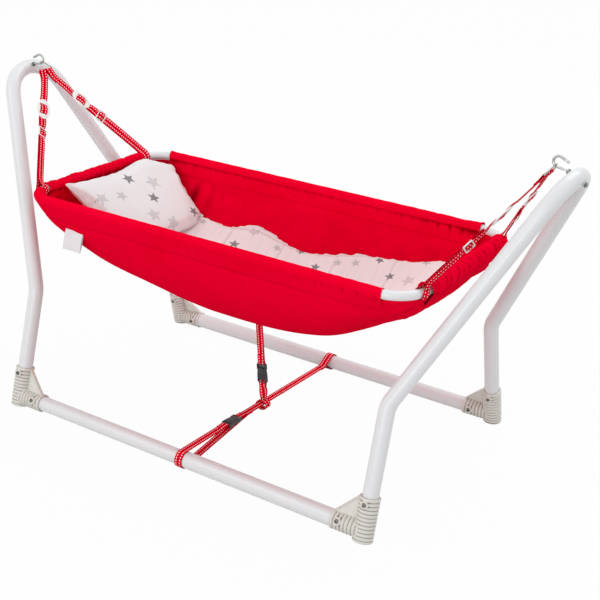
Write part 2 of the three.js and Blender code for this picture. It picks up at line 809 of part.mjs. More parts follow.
// The end of a band folded round a bar: its short lap, then the turn; tangent leaves the bar
function eyeEnd({ point, tangent, across, out }, turnR, lap, merge) {
  const stations = [lap, merge].map((run) => {
    return { point: along(along(point, tangent, run), out, -webThick - gap), across };
  });
  for (let k = 0; k <= loopSteps; k += 1) {
    const turn = Math.PI * k / loopSteps;
    const side = along(point, out, -turnR * Math.cos(turn));
    stations.push({ point: along(side, tangent, -turnR * Math.sin(turn)), across });
  }
  return stations;
}

function makeSling(side, depthSide, sx, sy) {
  const { frameAt, total, oval, slider, turnFrom, turnTo, lengths } = slingLine(side, sx, sy);
  const face = frameAt(oval).tangent.cross(frameAt(oval).across).dot(shownFace) > 0 ? 1 : -1;
  const placed = (s, offset) => {
    const { point, tangent, across } = frameAt(s);
    const out = tangent.clone().cross(across).multiplyScalar(face);
    return { point: along(point, out, offset), across, out, tangent };
  };
  const barLoop = ringWireR + gap + webThick / 2;
  const rimLoop = rimR + slingCurveGap + webThick / 2;
  const behind = -(threadOffset + webThick + gap);
  const stations = [placed(slingTopLap, -webThick - gap)];
  stations.push(...eyeEnd(placed(0, 0), barLoop, barMerge, barMerge).slice(1));
  const main = [
    [barMerge, 0], [lengths[0] / 2, slingBow],
    ...threading(oval, ovalBar, ovalSlot, ovalLength),
    ...turnShares.map((share) => [turnFrom + (turnTo - turnFrom) * share, 0]),
    ...threading(slider, sliderBar, sliderSlot, sliderLength),
    ...rimRunShares.map((share, k) => [total - rimMerge * share, rimLoop * rimRiseShares[k]]),
  ].sort((p, q) => p[0] - q[0]);
  stations.push(...main.map(([s, offset]) => placed(s, offset)));
  const atRim = placed(total, 0);
  for (let k = 0; k <= loopSteps; k += 1) {
    const turn = Math.PI * k / loopSteps;
    const point = along(atRim.point, atRim.out, rimLoop * Math.cos(turn));
    stations.push({ point: along(point, atRim.tangent, rimLoop * Math.sin(turn)), across: atRim.across });
  }
  const [farShare, mergeShare, easeShare, nearShare] = rimRunShares;
  const back = [
    [total - rimMerge * nearShare, -rimLoop * rimRiseShares[3]],
    [total - rimMerge * easeShare, behind * tailEaseShare],
    [total - rimMerge * mergeShare, behind],
    [total - rimMerge * farShare, behind],
    [slider + sliderLength / 2, behind],
    [turnTo, behind],
    [slider - slingTail, behind],
  ];
  stations.push(...back.map(([s, offset]) => placed(s, offset)));
  addPiece(`${side}_${depthSide}_sling`, band(stations), redWeb);
  makePlates(side, depthSide, placed(oval, 0), placed(slider, 0));
}

// Plates that the slings are threaded through
function makePlates(side, depthSide, ovalPlace, sliderPlace) {
  const slots = (shape, bar, slot) => [1, -1].forEach((end) => {
    const from = end * bar / 2;
    const to = end * (bar / 2 + slot);
    const half = webWidth / 2 + slotMargin;
    shape.holes.push(new THREE.Path([[-half, from], [half, from], [half, to], [-half, to]].map(([x, y]) => (
      new THREE.Vector2(x, y)))));
  });
  const settle = (name, shape, place) => {
    const options = { depth: plateThick, bevelEnabled: false, curveSegments: plateCurveSteps };
    const geometry = new THREE.ExtrudeGeometry(shape, options);
    const piece = addPiece(name, geometry.translate(0, 0, -plateThick / 2), clearPlastic);
    const out = place.across.clone().cross(place.tangent);
    const basis = new THREE.Matrix4().makeBasis(place.across, place.tangent, out);
    piece.quaternion.setFromRotationMatrix(basis);
    piece.position.copy(place.point);
  };
  const oval = new THREE.Shape();
  oval.absellipse(0, 0, ovalWidth / 2, ovalLength / 2, 0, Math.PI * 2);
  slots(oval, ovalBar, ovalSlot);
  settle(`${side}_${depthSide}_oval_plate`, oval, ovalPlace);
  const x = sliderWidth / 2;
  const y = sliderLength / 2;
  const sliderCorners = [[-x, -y], [x, -y], [x, y], [-x, y]].map(([a, b]) => new THREE.Vector2(a, b));
  const slider = new THREE.Shape(sliderCorners);
  slots(slider, sliderBar, sliderSlot);
  settle(`${side}_${depthSide}_slider`, slider, sliderPlace);
}

// Mattress: its underside follows the cloth, its top has a crown
function bowlInnerZ(x, y) {
  const half = planHalf(x, -clothThick / 2);
  const share = Math.min(Math.abs(y) / half, 1);
  const depth = bowlDepth(x, 0) - clothThick;
  return bowlTop - depth * (1 - share ** sectionPowerSide) ** (1 / sectionPowerDepth);
}

function mattressForm(grow) {
  const middle = (mattressFromX + mattressToX) / 2;
  const reach = (mattressToX - mattressFromX) / 2 + grow;
  const rings = [];
  for (let i = 0; i <= mattressStations; i += 1) {
    const u = Math.sin(Math.PI / 2 * (2 * i / mattressStations - 1));
    const x = middle + reach * u;
    const wave = mattressWave * (1 - Math.cos(Math.PI * Math.min(Math.abs(x) / mattressWaveX, 1))) / 2;
    const half = (mattressHalf + wave) * (1 - mattressTaperShare * u ** 8) + grow;
    const ring = [vec(x, -half, 0), vec(x, half, 0)];
    for (let k = 0; k <= mattressAcross; k += 1) {
      const v = Math.cos(Math.PI * k / mattressAcross);
      const crownShare = Math.sqrt(Math.max(1 - u ** 6, 0) * (1 - v ** 6));
      const thick = mattressEdge + (mattressThick - mattressEdge) * crownShare + grow;
      ring.push(vec(x, half * v, bowlInnerZ(x, half * v) + thick));
    }
    rings.push(ring);
  }
  return solidOf(skin(rings));
}

function makePillow() {
  const down = pillowFoot.clone().sub(pillowTop);
  const length = down.length();
  down.normalize();
  const out = down.clone().cross(vec(0, 1, 0)).normalize();
  if (out.z < 0) {
    out.negate();
  }
  const centre = pillowTop.clone().lerp(pillowFoot, 0.5);
  const rings = [];
  for (let i = 0; i <= pillowSteps; i += 1) {
    const u = Math.sin(Math.PI / 2 * (2 * i / pillowSteps - 1));
    const ring = [];
    for (let k = 0; k < 2 * pillowAcross; k += 1) {
      const angle = Math.PI * (k + 0.5) / pillowAcross;
      const v = Math.cos(angle);
      const drawn = 1 - pillowDrawShare * (1 - v * v) * u * u;
      const drawnSide = 1 - pillowDrawShare * (1 - u * u) * v * v;
      const fill = Math.sqrt(Math.max((1 - u ** 4) * (1 - v ** 4), 0));
      const half = (pillowEdge + (pillowThick - pillowEdge) * fill) / 2;
      const point = along(centre, vec(0, 1, 0), u * drawn * pillowWidth / 2);
      point.addScaledVector(down, v * drawnSide * length / 2);
      ring.push(along(point, out, Math.sign(Math.sin(angle)) * half));
    }
    rings.push(ring);
  }
  const sleeveRoom = solidOf(hoop(rimPath, vec(0, 0, 1), sleeveR + gap, sleeveSides));
  return solidOf(skin(rings))
    .intersect(solidOf(bowlForm(-clothThick / 2 - gap, pillowThick)))
    .subtract(mattressForm(gap))
    .subtract(sleeveRoom);
}

function makeBedding() {
  const room = solidOf(bowlForm(-clothThick / 2 - gap, cutMargin));
  addPiece('mattress', geometryOf(mattressForm(0).intersect(room)), printedCloth);
  addPiece('pillow', geometryOf(makePillow()), printedCloth);
}

function makeLabel() {
  const top = vec(labelX, labelY, labelZ);
  const foot = vec(labelX - labelShear, labelY, labelZ - labelLength);
  const points = [top, foot].map((point) => ({ point, across: vec(1, 0, 0) }));
  const clear = solidOf(bowlForm(clothThick / 2 + gap, 0));
  const label = solidOf(band(points, labelWidth, labelThick)).subtract(clear);
  addPiece('label', geometryOf(label), labelCloth);
}

// Side-release buckle along +Z: the socket above z = 0, the plug below, its prongs in the socket
function block(width, depth, bottom, top, x = 0) {
  return solidOf(new THREE.BoxGeometry(width, depth, top - bottom).translate(x, 0, (top + bottom) / 2));
}

function buckleSolids() {
  const open = webWidth + slotMargin;
  const through = buckleThick + cutMargin;
  const hollow = buckleThick - 2 * buckleWall;
  const inner = buckleWidth - 2 * buckleWall;
  const barAt = buckleBody - buckleBarR;
  const barEnd = open / 2 + gap;
  const bar = (z) => solidOf(rod(vec(-barEnd, 0, z), vec(barEnd, 0, z), buckleBarR, wireSides));
  const socket = block(buckleWidth, buckleThick, 0, buckleBody)
    .subtract(block(inner, hollow, -cutMargin, buckleProng + gap))
    .subtract(block(buckleWidth + cutMargin, hollow - buckleWall, buckleWall, buckleWindow))
    .subtract(block(open, through, buckleBody - buckleSlot, buckleBody + cutMargin))
    .add(bar(barAt));
  const prongX = inner / 2 - gap - buckleProngWidth / 2;
  const prong = (x) => block(buckleProngWidth, hollow - 2 * gap, -buckleWall, buckleProng, x);
  const plug = block(buckleWidth, buckleThick, -buckleBase, -gap)
    .add(prong(prongX))
    .add(prong(-prongX))
    .add(prong(0))
    .subtract(block(open, through, -buckleBase - cutMargin, buckleSlot - buckleBase))
    .add(bar(buckleBarR - buckleBase));
  return { socket, plug };
}

// Places where a buckle's two straps turn round its bars, for a buckle that stands at a place
function makeBuckle(name, at, upward, across) {
  const out = upward.clone().cross(across);
  const basis = new THREE.Matrix4().makeBasis(across, across.clone().cross(upward).negate(), upward);
  const solids = buckleSolids();
  ['socket', 'plug'].forEach((half) => {
    const piece = addPiece(`${name}_buckle_${half}`, geometryOf(solids[half]), blackPlastic);
    piece.quaternion.setFromRotationMatrix(basis);
    piece.position.copy(at);
  });
  const barAt = buckleBody - buckleBarR;
  const socketBar = { point: along(at, upward, barAt), tangent: upward.clone(), across, out };
  const plugPoint = along(at, upward, buckleBarR - buckleBase);
  const plugBar = { point: plugPoint, tangent: upward.clone().negate(), across, out };
  return { socketBar, plugBar };
}

const eyeTurnR = buckleBarR + gap + webThick / 2;
const bodyBottomZ = bowlTop - bodyDepth;
const tetherLean = (tetherFootX - tetherTopX) / (bodyBottomZ - tetherForkZ);

function makeTether() {
  const top = vec(tetherTopX, 0, bodyBottomZ - gap - tetherLean * webWidth / 2);
  const foot = vec(tetherFootX, 0, tetherForkZ);
  const upward = top.clone().sub(foot).normalize();
  const atHeight = (z) => top.clone().lerp(foot, (top.z - z) / (top.z - foot.z));
  const across = vec(0, 1, 0).cross(upward);
  const { socketBar, plugBar } = makeBuckle('tether', atHeight(tetherBuckleZ - buckleBody), upward, across);
  const upper = eyeEnd(socketBar, eyeTurnR, eyeLap, eyeMerge);
  upper.push({ point: along(socketBar.point, upward, eyeMerge), across }, { point: top, across });
  addPiece('tether_upper_strap', band(upper), redWeb);
  const lower = eyeEnd(plugBar, eyeTurnR, eyeLap * shortLapShare, eyeMerge);
  lower.push({ point: along(plugBar.point, upward, -eyeMerge), across });
  lower.push({ point: atHeight(tetherTwistZ), across });
  for (let k = 1; k <= loopSteps; k += 1) {
    const share = k / loopSteps;
    const turned = across.clone().applyAxisAngle(upward, Math.PI / 2 * share);
    const z = tetherTwistZ + (tetherForkZ + webThick - tetherTwistZ) * share;
    lower.push({ point: atHeight(z), across: turned });
  }
  lower.push({ point: foot, across: vec(0, 1, 0) });
  const rings = [];
  for (let k = 0; k < tetherLoopSteps; k += 1) {
    const angle = 2 * Math.PI * k / tetherLoopSteps;
    const ringAt = (grow, y) => vec(
      crossX + (tetherLoopX + grow) * Math.sin(angle),
      y,
      tetherForkZ - tetherLoopZ + (tetherLoopZ + grow) * Math.cos(angle),
    );
    const half = webThick / 2;
    const wide = webWidth / 2;
    rings.push([ringAt(-half, -wide), ringAt(-half, wide), ringAt(half, wide), ringAt(half, -wide)]);
  }
  const loop = solidOf(skin(rings, true));
  addPiece('tether_lower_strap', geometryOf(solidOf(band(lower)).add(loop)), redWeb);
}

// Cross strap: it loops each floor tube, and its buckle closes the front loop
function tubeWrap(centreY, from, to) {
  const wrapR = thickR + gap + webThick / 2;
  return Array.from({ length: 2 * loopSteps + 1 }, (_, k) => {
    const angle = from + (to - from) * k / (2 * loopSteps);
    return vec(crossX, centreY + wrapR * Math.cos(angle), axisZ + wrapR * Math.sin(angle));
  });
}

// Angle at which a strap from a point beside a floor tube first touches its wrap, seen along +X
function wrapAngle(point, centreY, above) {
  const reach = new THREE.Vector2(point.y - centreY, point.z - axisZ);
  const wrapR = thickR + gap + webThick / 2;
  return reach.angle() + above * Math.acos(wrapR / reach.length());
}

function makeCrossStrap() {
  const across = vec(1, 0, 0);
  const under = webThick + gap;
  const rearJoin = vec(crossX, crossMergeY, crossRearZ);
  const middle = vec(crossX, 0, crossZ);
  const buckleRear = vec(crossX, crossBuckleRearY, crossZ + crossBuckleRise);
  const rearward = middle.clone().sub(buckleRear).normalize();
  const buckleAt = along(buckleRear, rearward, -buckleBody);
  const { socketBar, plugBar } = makeBuckle('cross', buckleAt, rearward, across);
  const rear = eyeEnd({ ...socketBar, out: socketBar.out.clone() }, eyeTurnR, eyeLap, eyeMerge);
  rear.push({ point: along(socketBar.point, rearward, eyeMerge), across });
  rear.push({ point: middle, across }, { point: rearJoin, across });
  const overTop = wrapAngle(rearJoin, footY, -1);
  const fromBelow = wrapAngle(rearJoin, footY, 1);
  tubeWrap(footY, overTop, fromBelow - 2 * Math.PI).forEach((point) => rear.push({ point, across }));
  rear.push({ point: vec(crossX, crossMergeY, crossRearZ - under), across });
  const lapShare = crossFold / (crossMergeY - middle.y);
  rear.push({ point: rearJoin.clone().lerp(middle, lapShare).add(vec(0, 0, -under)), across });
  addPiece('cross_strap_rear', band(rear), redWeb);
  const front = eyeEnd(plugBar, eyeTurnR, eyeLap, eyeMerge);
  const leave = along(plugBar.point, rearward, -eyeMerge);
  front.push({ point: leave, across });
  const join = along(socketBar.point, rearward, eyeMerge + crossFold).add(vec(0, 0, -under));
  const overFront = wrapAngle(leave, -footY, 1);
  const underFront = wrapAngle(join, -footY, -1);
  const roundFront = underFront > overFront ? underFront : underFront + 2 * Math.PI;
  tubeWrap(-footY, overFront, roundFront).forEach((point) => front.push({ point, across }));
  front.push({ point: join, across }, { point: along(join, rearward, crossFold), across });
  addPiece('cross_strap_front', band(front), redWeb);
}

const sides = [['left', -1], ['right', 1]];
sides.forEach(([side, sx]) => {
  makeEndFrame(`${side}_end_frame`, sx);
  makeHook(side, sx);
  makeRing(side, sx);
  [['front', -1], ['rear', 1]].forEach(([depthSide, sy]) => {
    const corner = `${side}_${depthSide}`;
    makeConnector(`${corner}_connector`, sx, sy);
    screwSpots(sx, sy).forEach(({ name, centre, out }) => makeScrew(`${corner}_${name}_screw`, centre, out));
    makeSling(side, depthSide, sx, sy);
  });
});
makeFloorTube('front', -1, 1);
makeFloorTube('rear', 1, -1);
makeRim();
makeBody();
makeBedding();
makeLabel();
makeTether();
makeCrossStrap();

export default cradle;
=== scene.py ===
"""Hanging baby cradle: its finished look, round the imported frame.

Sizes are in millimetres until a mesh is made.
"""

import math

import bmesh
import bpy
import numpy as np
from mathutils import Matrix, Vector, noise
from mathutils.bvhtree import BVHTree


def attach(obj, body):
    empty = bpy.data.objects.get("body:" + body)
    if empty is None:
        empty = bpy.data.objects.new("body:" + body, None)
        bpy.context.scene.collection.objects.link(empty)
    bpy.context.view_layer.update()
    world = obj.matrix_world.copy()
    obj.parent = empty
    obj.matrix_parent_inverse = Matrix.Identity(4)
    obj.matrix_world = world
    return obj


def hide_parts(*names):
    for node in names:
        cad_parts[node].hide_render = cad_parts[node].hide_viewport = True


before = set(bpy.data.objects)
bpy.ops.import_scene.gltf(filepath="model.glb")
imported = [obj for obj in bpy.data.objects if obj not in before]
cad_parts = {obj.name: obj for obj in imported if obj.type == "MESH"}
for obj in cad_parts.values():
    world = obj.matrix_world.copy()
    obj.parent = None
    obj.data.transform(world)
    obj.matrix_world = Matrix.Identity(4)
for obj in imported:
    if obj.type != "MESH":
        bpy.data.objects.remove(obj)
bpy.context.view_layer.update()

MM = 0.001
FULL_TURN = 2 * math.pi
UP = np.array([0.0, 0.0, 1.0])
RIGHT = np.array([1.0, 0.0, 0.0])
BACK = np.array([0.0, 1.0, 0.0])
GAP = 0.35

# Stand
LEG_R = 17.5
THICK_R = 19.0
FOOT_X = 485.0
FOOT_Y = 312.0
AXIS_Z = 23.0
KINK = np.array([483.0, 246.0, 282.0])
LEG_SPLAY = 0.516
LEG_CLOSE = 0.397
KINK_BEND_R = 70.0
APEX_BEND_R = 88.0
LEG_SEAT = 9.0
TUBE_END_X = 461.0
JOIN_X = 12.0
JOIN_LAP = 70.0
TUBE_SIDES = 56
LEG_EDGE = 0.8
FLOOR_EDGE = 0.9

# Corner connectors
SOCKET_R = 22.0
MOUTH_Z = 94.0
MOUTH_X = 411.0
UPRIGHT_RIB = 8.3
LYING_RIB = 8.8
RIB_DEEP = 2.9
GUSSET_THICK = 6.0
GUSSET_LIP = 9.0
GUSSET_LIP_HIGH = 3.0
GUSSET_SINK = 2.0
GUSSET_BELOW_MOUTH = 2.5
LYING_INSET = 4.0
LYING_SLIMMER = 0.7
FOOT_WORN = 3.0
BOSS_R = 8.0
BOSS_PROUD = 2.2
BOSS_WELL = 1.6
LYING_SCREW_X = 431.0
FRONT_SCREW_LEAN = math.radians(26)
UPRIGHT_SCREW_Z = 80.0
SCREW_HEAD_R = 4.2
SCREW_HEAD_HIGH = 2.6

# Hooks, nuts, washers and rings
HOOK_WIRE_R = 2.75
HOOK_TAIL = 27.0
HOOK_BEND_AT = 24.5
HOOK_CENTRE_ALONG = 46.5
HOOK_CENTRE_UP = 3.8
HOOK_R = 11.0
HOOK_TIP_ALONG = 28.0
THREAD_PITCH = 1.25
THREAD_DEEP = 0.28
NUT_ACROSS = 10.0
NUT_HIGH = 4.6
WASHER_R = 7.5
WASHER_HIGH = 1.4
RING_WIRE_R = 1.5
RING_APEX_R = 5.4
RING_BAR = 56.0
RING_HIGH = 26.0
RING_CORNER_R = 2.4

# Rim hoop and cloth body
RIM_R = 10.0
RIM_X = 510.0
RIM_Y = 239.0
RIM_Z = 511.0
RIM_CORNER_R = 75.0
BOWL_TOP = RIM_Z - 11.0
BODY_DEEP = 221.0
DEPTH_SHARES = [(-1, 0.23), (-0.92, 0.42), (-0.745, 0.69), (-0.49, 0.86), (0, 1),
                (0.49, 0.88), (0.745, 0.58), (0.92, 0.31), (1, 0.12)]
SIDE_POWER = 2.84
DEPTH_POWER = 1.61
FOLD_DEEP = 3.2
FOLD_COUNT = 12
FOLD_FROM_SHARE = 0.55
CLOTH_THICK = 1.7
SLEEVE_THICK = 0.9
SHELL_HALF = 1.5
END_DROP = 31.0
SIDE_DROP = 46.0
SLING_ANGLE = math.radians(17)
SLING_BARE = 14.5
FRONT_RIGHT_BARE = 82.0
REAR_RIGHT_BARE = 92.0
REAR_LEFT_BARE = 74.0
BODY_ROUND = 151
BODY_LONG = 241
WALL_ROWS = 9
WALL_FROM = 0.04
SLACK_WAVE = 3.2
SLACK_LONG = 190.0
CREASE_WAVE = 0.6
CREASE_LONG = 60.0
CORNER_PULL = 6.0
CORNER_FADE = 110.0
CORNER_FOLDS = 8.5
WALL_CREASE = 1.8
WALL_CREASE_FADE = 120.0
END_GATHER = 6.0
END_GATHER_FADE = 60.0
FRONT_SEAM = (438.0, 0.25)
REAR_SEAM = (452.0, -0.2)
SEAM_WIDE = 1.8
SEAM_PROUD = 1.3
SEAM_SUNK = 0.8
REAR_FOLD_X = -326.0
REAR_VALLEY_X = -356.0
REAR_FOLD_DEEP = 9.0
REAR_FOLD_WIDE = 13.0
REAR_VALLEY_WIDE = 15.0
REAR_FOLD_SLANT = 0.12
REAR_FOLD_FADE = 110.0
SLEEVE_STEP = 1.5
SLEEVE_ROWS = (0.12, 0.26, 0.42, 0.6, 0.8, 1.0)
MOUTH_PUCKER = 1.6
MOUTH_PUCKER_REACH = 26.0
RIGHT_PUCKER = 1.5
FLARE_REACH = 6.0
STITCH_LONG = 3.0
STITCH_PITCH = 4.4
STITCH_R = 0.42
STITCH_END_R = 0.25

# Sleeves: puckers in millimetres, a wave long, whose inside may be smooth; their mouths flare
SLEEVES = {
    "right_end_sleeve": {"radius": 18.0, "puckers": 9.5, "wave": 15.0, "flare": 4.0,
                         "smooth_inside": 0.7, "drop": END_DROP, "seed": 4.0},
    "front_sleeve": {"radius": 12.6, "puckers": 0.5, "wave": 32.0, "flare": 0.8,
                     "smooth_inside": 0.0, "drop": SIDE_DROP, "seed": 14.0},
    "left_end_sleeve": {"radius": 14.0, "puckers": 4.6, "wave": 17.0, "flare": 1.0,
                        "smooth_inside": 0.0, "drop": END_DROP, "seed": 24.0},
    "rear_sleeve": {"radius": 12.6, "puckers": 0.7, "wave": 32.0, "flare": 3.0,
                    "smooth_inside": 0.0, "drop": SIDE_DROP, "seed": 34.0},
}

# Webbing and plates
WEB_WIDE = 20.0
WEB_THICK = 1.5
SLING_TOP_LAP = 34.0
SLING_TAIL = 44.0
SLING_LEAD = 14.0
SLING_BEND = 30.0
SLING_CURVE_GAP = 2.2
BAR_MERGE = 22.0
RIM_MERGE = 26.0
LOOSE_GAP = 0.6
ROUTE_SOFT = 5.0
PLATE_THICK = 2.4
OVAL_LONG = 55.0
OVAL_WIDE = 36.0
OVAL_BAR = 8.0
OVAL_SLOT = 10.0
SLIDER_LONG = 24.0
SLIDER_WIDE = 29.0
SLIDER_BAR = 5.0
SLIDER_SLOT = 7.0
SLOT_MARGIN = 1.3
THREAD_MARGIN = 0.9
THREAD_LEAD = 3.0
OVAL_SHARES = {"left": 0.33, "right": 0.35}
SLIDER_SHARES = {"left": 0.53, "right": 0.61}
SHOWN_FACE = np.array([0.5, -0.8, 0.4])

# Bedding and label
MATTRESS_THICK = 22.0
MATTRESS_EDGE = 7.0
MATTRESS_FROM_X = -440.0
MATTRESS_TO_X = 455.0
MATTRESS_HALF = 190.0
MATTRESS_WAVE = 13.0
MATTRESS_WAVE_X = 150.0
MATTRESS_TAPER = 0.12
MATTRESS_MIDDLE = (MATTRESS_FROM_X + MATTRESS_TO_X) / 2
MATTRESS_REACH = (MATTRESS_TO_X - MATTRESS_FROM_X) / 2
MATTRESS_SEAMS = (-210.0, -60.0, 95.0, 250.0)
PAD_VOXEL = 4.5
PAD_PRESSURE = 4.0
PAD_FRAMES = 20
MATTRESS_OFF_CLOTH = 1.8
MATTRESS_LEAST_OFF = 1.2
MATTRESS_REAR_IN = 17.0
MATTRESS_SEAM_DEEP = 3.0
MATTRESS_SEAM_WIDE = 4.5
MATTRESS_SWELL = 0.005
PILLOW_SWELL = 0.006
SLEEVE_ROOM = 17.0
PILLOW_WIDE = 340.0
PILLOW_THICK = 46.0
PILLOW_EDGE = 5.0
PILLOW_TOP = np.array([-488.0, 40.0, 513.0])
PILLOW_FOOT = np.array([-300.0, 40.0, 369.0])
PILLOW_TUCK = np.array([40.0, 14.0, -16.0])
PILLOW_DRAWN = 0.06
PILLOW_GROWN = 0.6
PILLOW_OFF_CLOTH = 1.4
PILLOW_LEAST_OFF = 1.0
PILLOW_EAR = 9.0
PILLOW_LIFT = 12.0
PILLOW_PUCKER = 1.7
PILLOW_CREASE = 1.6
PIPING_POINTS = 320
PIPING_OFF = 3.0
PIPING_R = 1.3
LABEL_WIDE = 54.0
LABEL_LONG = 52.0
LABEL_TOP = np.array([-372.0, -223.5, 450.0])
LABEL_SHEAR = 12.0
LABEL_THICK = 0.35
LABEL_CURL = 1.6
LABEL_BULGE = 1.5
LABEL_FOLD = 0.55

# Tether and cross strap
TETHER_TOP_X = -5.0
TETHER_FOOT_X = 19.0
TETHER_BUCKLE_Z = 136.0
TETHER_TWIST_Z = 77.0
TETHER_FORK_Z = 40.0
TETHER_LOOP_X = 15.2
TETHER_LOOP_Z = 11.5
CROSS_X = 17.0
CROSS_Z = 33.0
CROSS_REAR_Z = 24.0
CROSS_MERGE_Y = 272.0
CROSS_BUCKLE_REAR_Y = -105.0
CROSS_BUCKLE_RISE = 4.0
CROSS_LAP = 20.0
BUCKLE_WIDE = 25.5
BUCKLE_THICK = 9.0
BUCKLE_BODY = 29.0
BUCKLE_BASE = 20.0
BUCKLE_BAR_R = 1.6
BUCKLE_PRONG = 17.0
BUCKLE_SLOT = 4.1
BUCKLE_THIN_SLOT = 2.2
BUCKLE_RIBS = (-5.4, -7.6, -9.8)
EYE_LAP = 24.0
EYE_MERGE = 11.0
LOOP_STEPS = 16

# Studio: the camera stands at a place in metres, with its turn, tilt and roll in degrees;
# each lamp has a place and a size in metres, and a power in watts
CAMERA_AT = (1.4312, -2.1002, 1.3864)
CAMERA_TURNS = (32.164, -23.087, 2.447)
CAMERA_LENS = 70.31
SENSOR_WIDE = 36.0
WORLD_LEVEL = 0.8
FLOOR_WHITE = 0.97
LAMPS = [("left_window", (-2.9, -4.3, 4.0), 2.2, 48), ("front_fill", (0.9, -5.8, 1.2), 2.8, 82),
         ("right_fill", (5.2, 1.0, 2.6), 2.6, 16), ("overhead", (0.5, 2.4, 4.2), 2.7, 56)]


# Shader maths
class Value:
    """An output of a finish's nodes that takes part in sums."""

    def __init__(self, finish, socket):
        self.finish = finish
        self.socket = socket

    def maths(self, operation, *terms):
        return self.finish.node("ShaderNodeMath", {"operation": operation}, dict(enumerate(terms)))

    def __add__(self, other):
        return self.maths("ADD", self, other)

    def __sub__(self, other):
        return self.maths("SUBTRACT", self, other)

    def __rsub__(self, other):
        return self.maths("SUBTRACT", other, self)

    def __mul__(self, other):
        return self.maths("MULTIPLY", self, other)

    def __truediv__(self, other):
        return self.maths("DIVIDE", self, other)

    def __mod__(self, other):
        return self.maths("FLOORED_MODULO", self, other)

    __radd__ = __add__
    __rmul__ = __mul__

    def apply(self, operation, *others):
        return self.maths(operation, self, *others)

    def step(self, low, high):
        """0 below low, 1 above high, smooth between; falls instead where low is above high."""
        if low > high:
            return 1 - self.step(high, low)
        settings = {"interpolation_type": "SMOOTHSTEP"}
        return self.finish.node("ShaderNodeMapRange", settings, {0: self, 1: low, 2: high})


class Finish:
    """A material of this cradle and the nodes that make it."""

    def __init__(self, name, colour, roughness, **constants):
        self.material = bpy.data.materials.new(name)
        self.material.use_nodes = True
        self.tree = self.material.node_tree
        self.shader = self.tree.nodes["Principled BSDF"]
        self.material.diffuse_color = (*colour, 1)
        self.feed(self.shader.inputs["Base Color"], (*colour, 1))
        self.feed(self.shader.inputs["Roughness"], roughness)
        for key, value in constants.items():
            self.feed(self.shader.inputs[key.replace("_", " ").title().replace("Ior", "IOR")], value)

    def feed(self, socket, value):
        if isinstance(value, Value):
            self.tree.links.new(value.socket, socket)
        else:
            socket.default_value = value

    def node(self, kind, settings=None, values=None, output=0):
        """A node of one kind: its settings come first, then the values or links of its sockets."""
        made = self.tree.nodes.new(kind)
        for key, value in (settings or {}).items():
            setattr(made, key, value)
        for key, value in (values or {}).items():
            self.feed(made.inputs[key], value)
        return Value(self, made.outputs[output])

    def place(self):
        return self.node("ShaderNodeTexCoord", output="Object")

    def uv(self):
        return self.node("ShaderNodeUVMap", {"uv_map": "cloth"})

    def split(self, vector):
        parts = self.node("ShaderNodeSeparateXYZ", values={0: vector})
        outputs = parts.socket.node.outputs
        return [Value(self, outputs[i]) for i in range(3)]

    def hollow(self):
        """How deep a point lies in a fold, from 0 to 1, which sets the painted shade of folds."""
        return self.node("ShaderNodeAttribute", {"attribute_name": "hollow"}, output=2)

    def noise(self, vector, scale, detail=2.0, roughness=0.5):
        values = {"Vector": vector, "Scale": scale, "Detail": detail, "Roughness": roughness}
        return self.node("ShaderNodeTexNoise", values=values)

    def blend(self, share, first, second):
        """A colour between two, by a share that may change over the surface."""
        settings = {"data_type": "RGBA"}
        ends = [c if isinstance(c, Value) else (*c, 1) for c in (first, second)]
        return self.node("ShaderNodeMix", settings, {0: share, 6: ends[0], 7: ends[1]}, output=2)

    def colour(self, value):
        self.feed(self.shader.inputs["Base Color"], value)

    def roughness(self, value):
        self.feed(self.shader.inputs["Roughness"], value)

    def relief(self, height, distance):
        """Raises the surface by a height from 0 to 1 times a distance in metres."""
        values = {"Strength": 1.0, "Distance": distance, "Height": height}
        self.feed(self.shader.inputs["Normal"], self.node("ShaderNodeBump", values=values))


def tone(*levels):
    """A colour written in the 0 to 255 levels of a screen, as linear shares."""
    return tuple((level / 255) ** 2.2 for level in levels)


# Finishes
def white_enamel():
    finish = Finish("white_enamel", tone(222, 222, 222), 0.34, coat_weight=0.25, coat_roughness=0.12)
    place = finish.place()
    wear = finish.noise(place, 9.0, 4.0).step(0.55, 0.85)
    finish.colour(finish.blend(wear * 0.5, tone(218, 219, 221), tone(209, 209, 208)))
    finish.roughness(0.3 + finish.noise(place, 40.0, 3.0) * 0.12)
    finish.relief(finish.noise(place, 420.0, 2.0), 0.00012)
    return finish.material


def ivory_moulding():
    finish = Finish("ivory_moulding", tone(198, 197, 189), 0.5)
    place = finish.place()
    cloud = finish.noise(place, 14.0, 3.0)
    colour = finish.blend(cloud, tone(206, 204, 196), tone(216, 215, 208))
    # painted shade: rib grooves and hollows darkened towards a dark grey by their depth
    finish.colour(finish.blend(finish.hollow() * 0.9, colour, tone(92, 88, 80)))
    finish.roughness(0.42 + cloud * 0.18)
    finish.relief(finish.noise(place, 900.0, 2.0), 0.0001)
    return finish.material


def zinc_plate(name, bright, dark):
    finish = Finish(name, bright, 0.3, metallic=0.92)
    place = finish.place()
    cloud = finish.noise(place, 160.0, 4.0, 0.6)
    finish.colour(finish.blend(cloud.step(0.35, 0.7), bright, dark))
    finish.roughness(0.24 + cloud * 0.24)
    finish.relief(finish.noise(place, 1400.0, 2.0), 0.00006)
    return finish.material


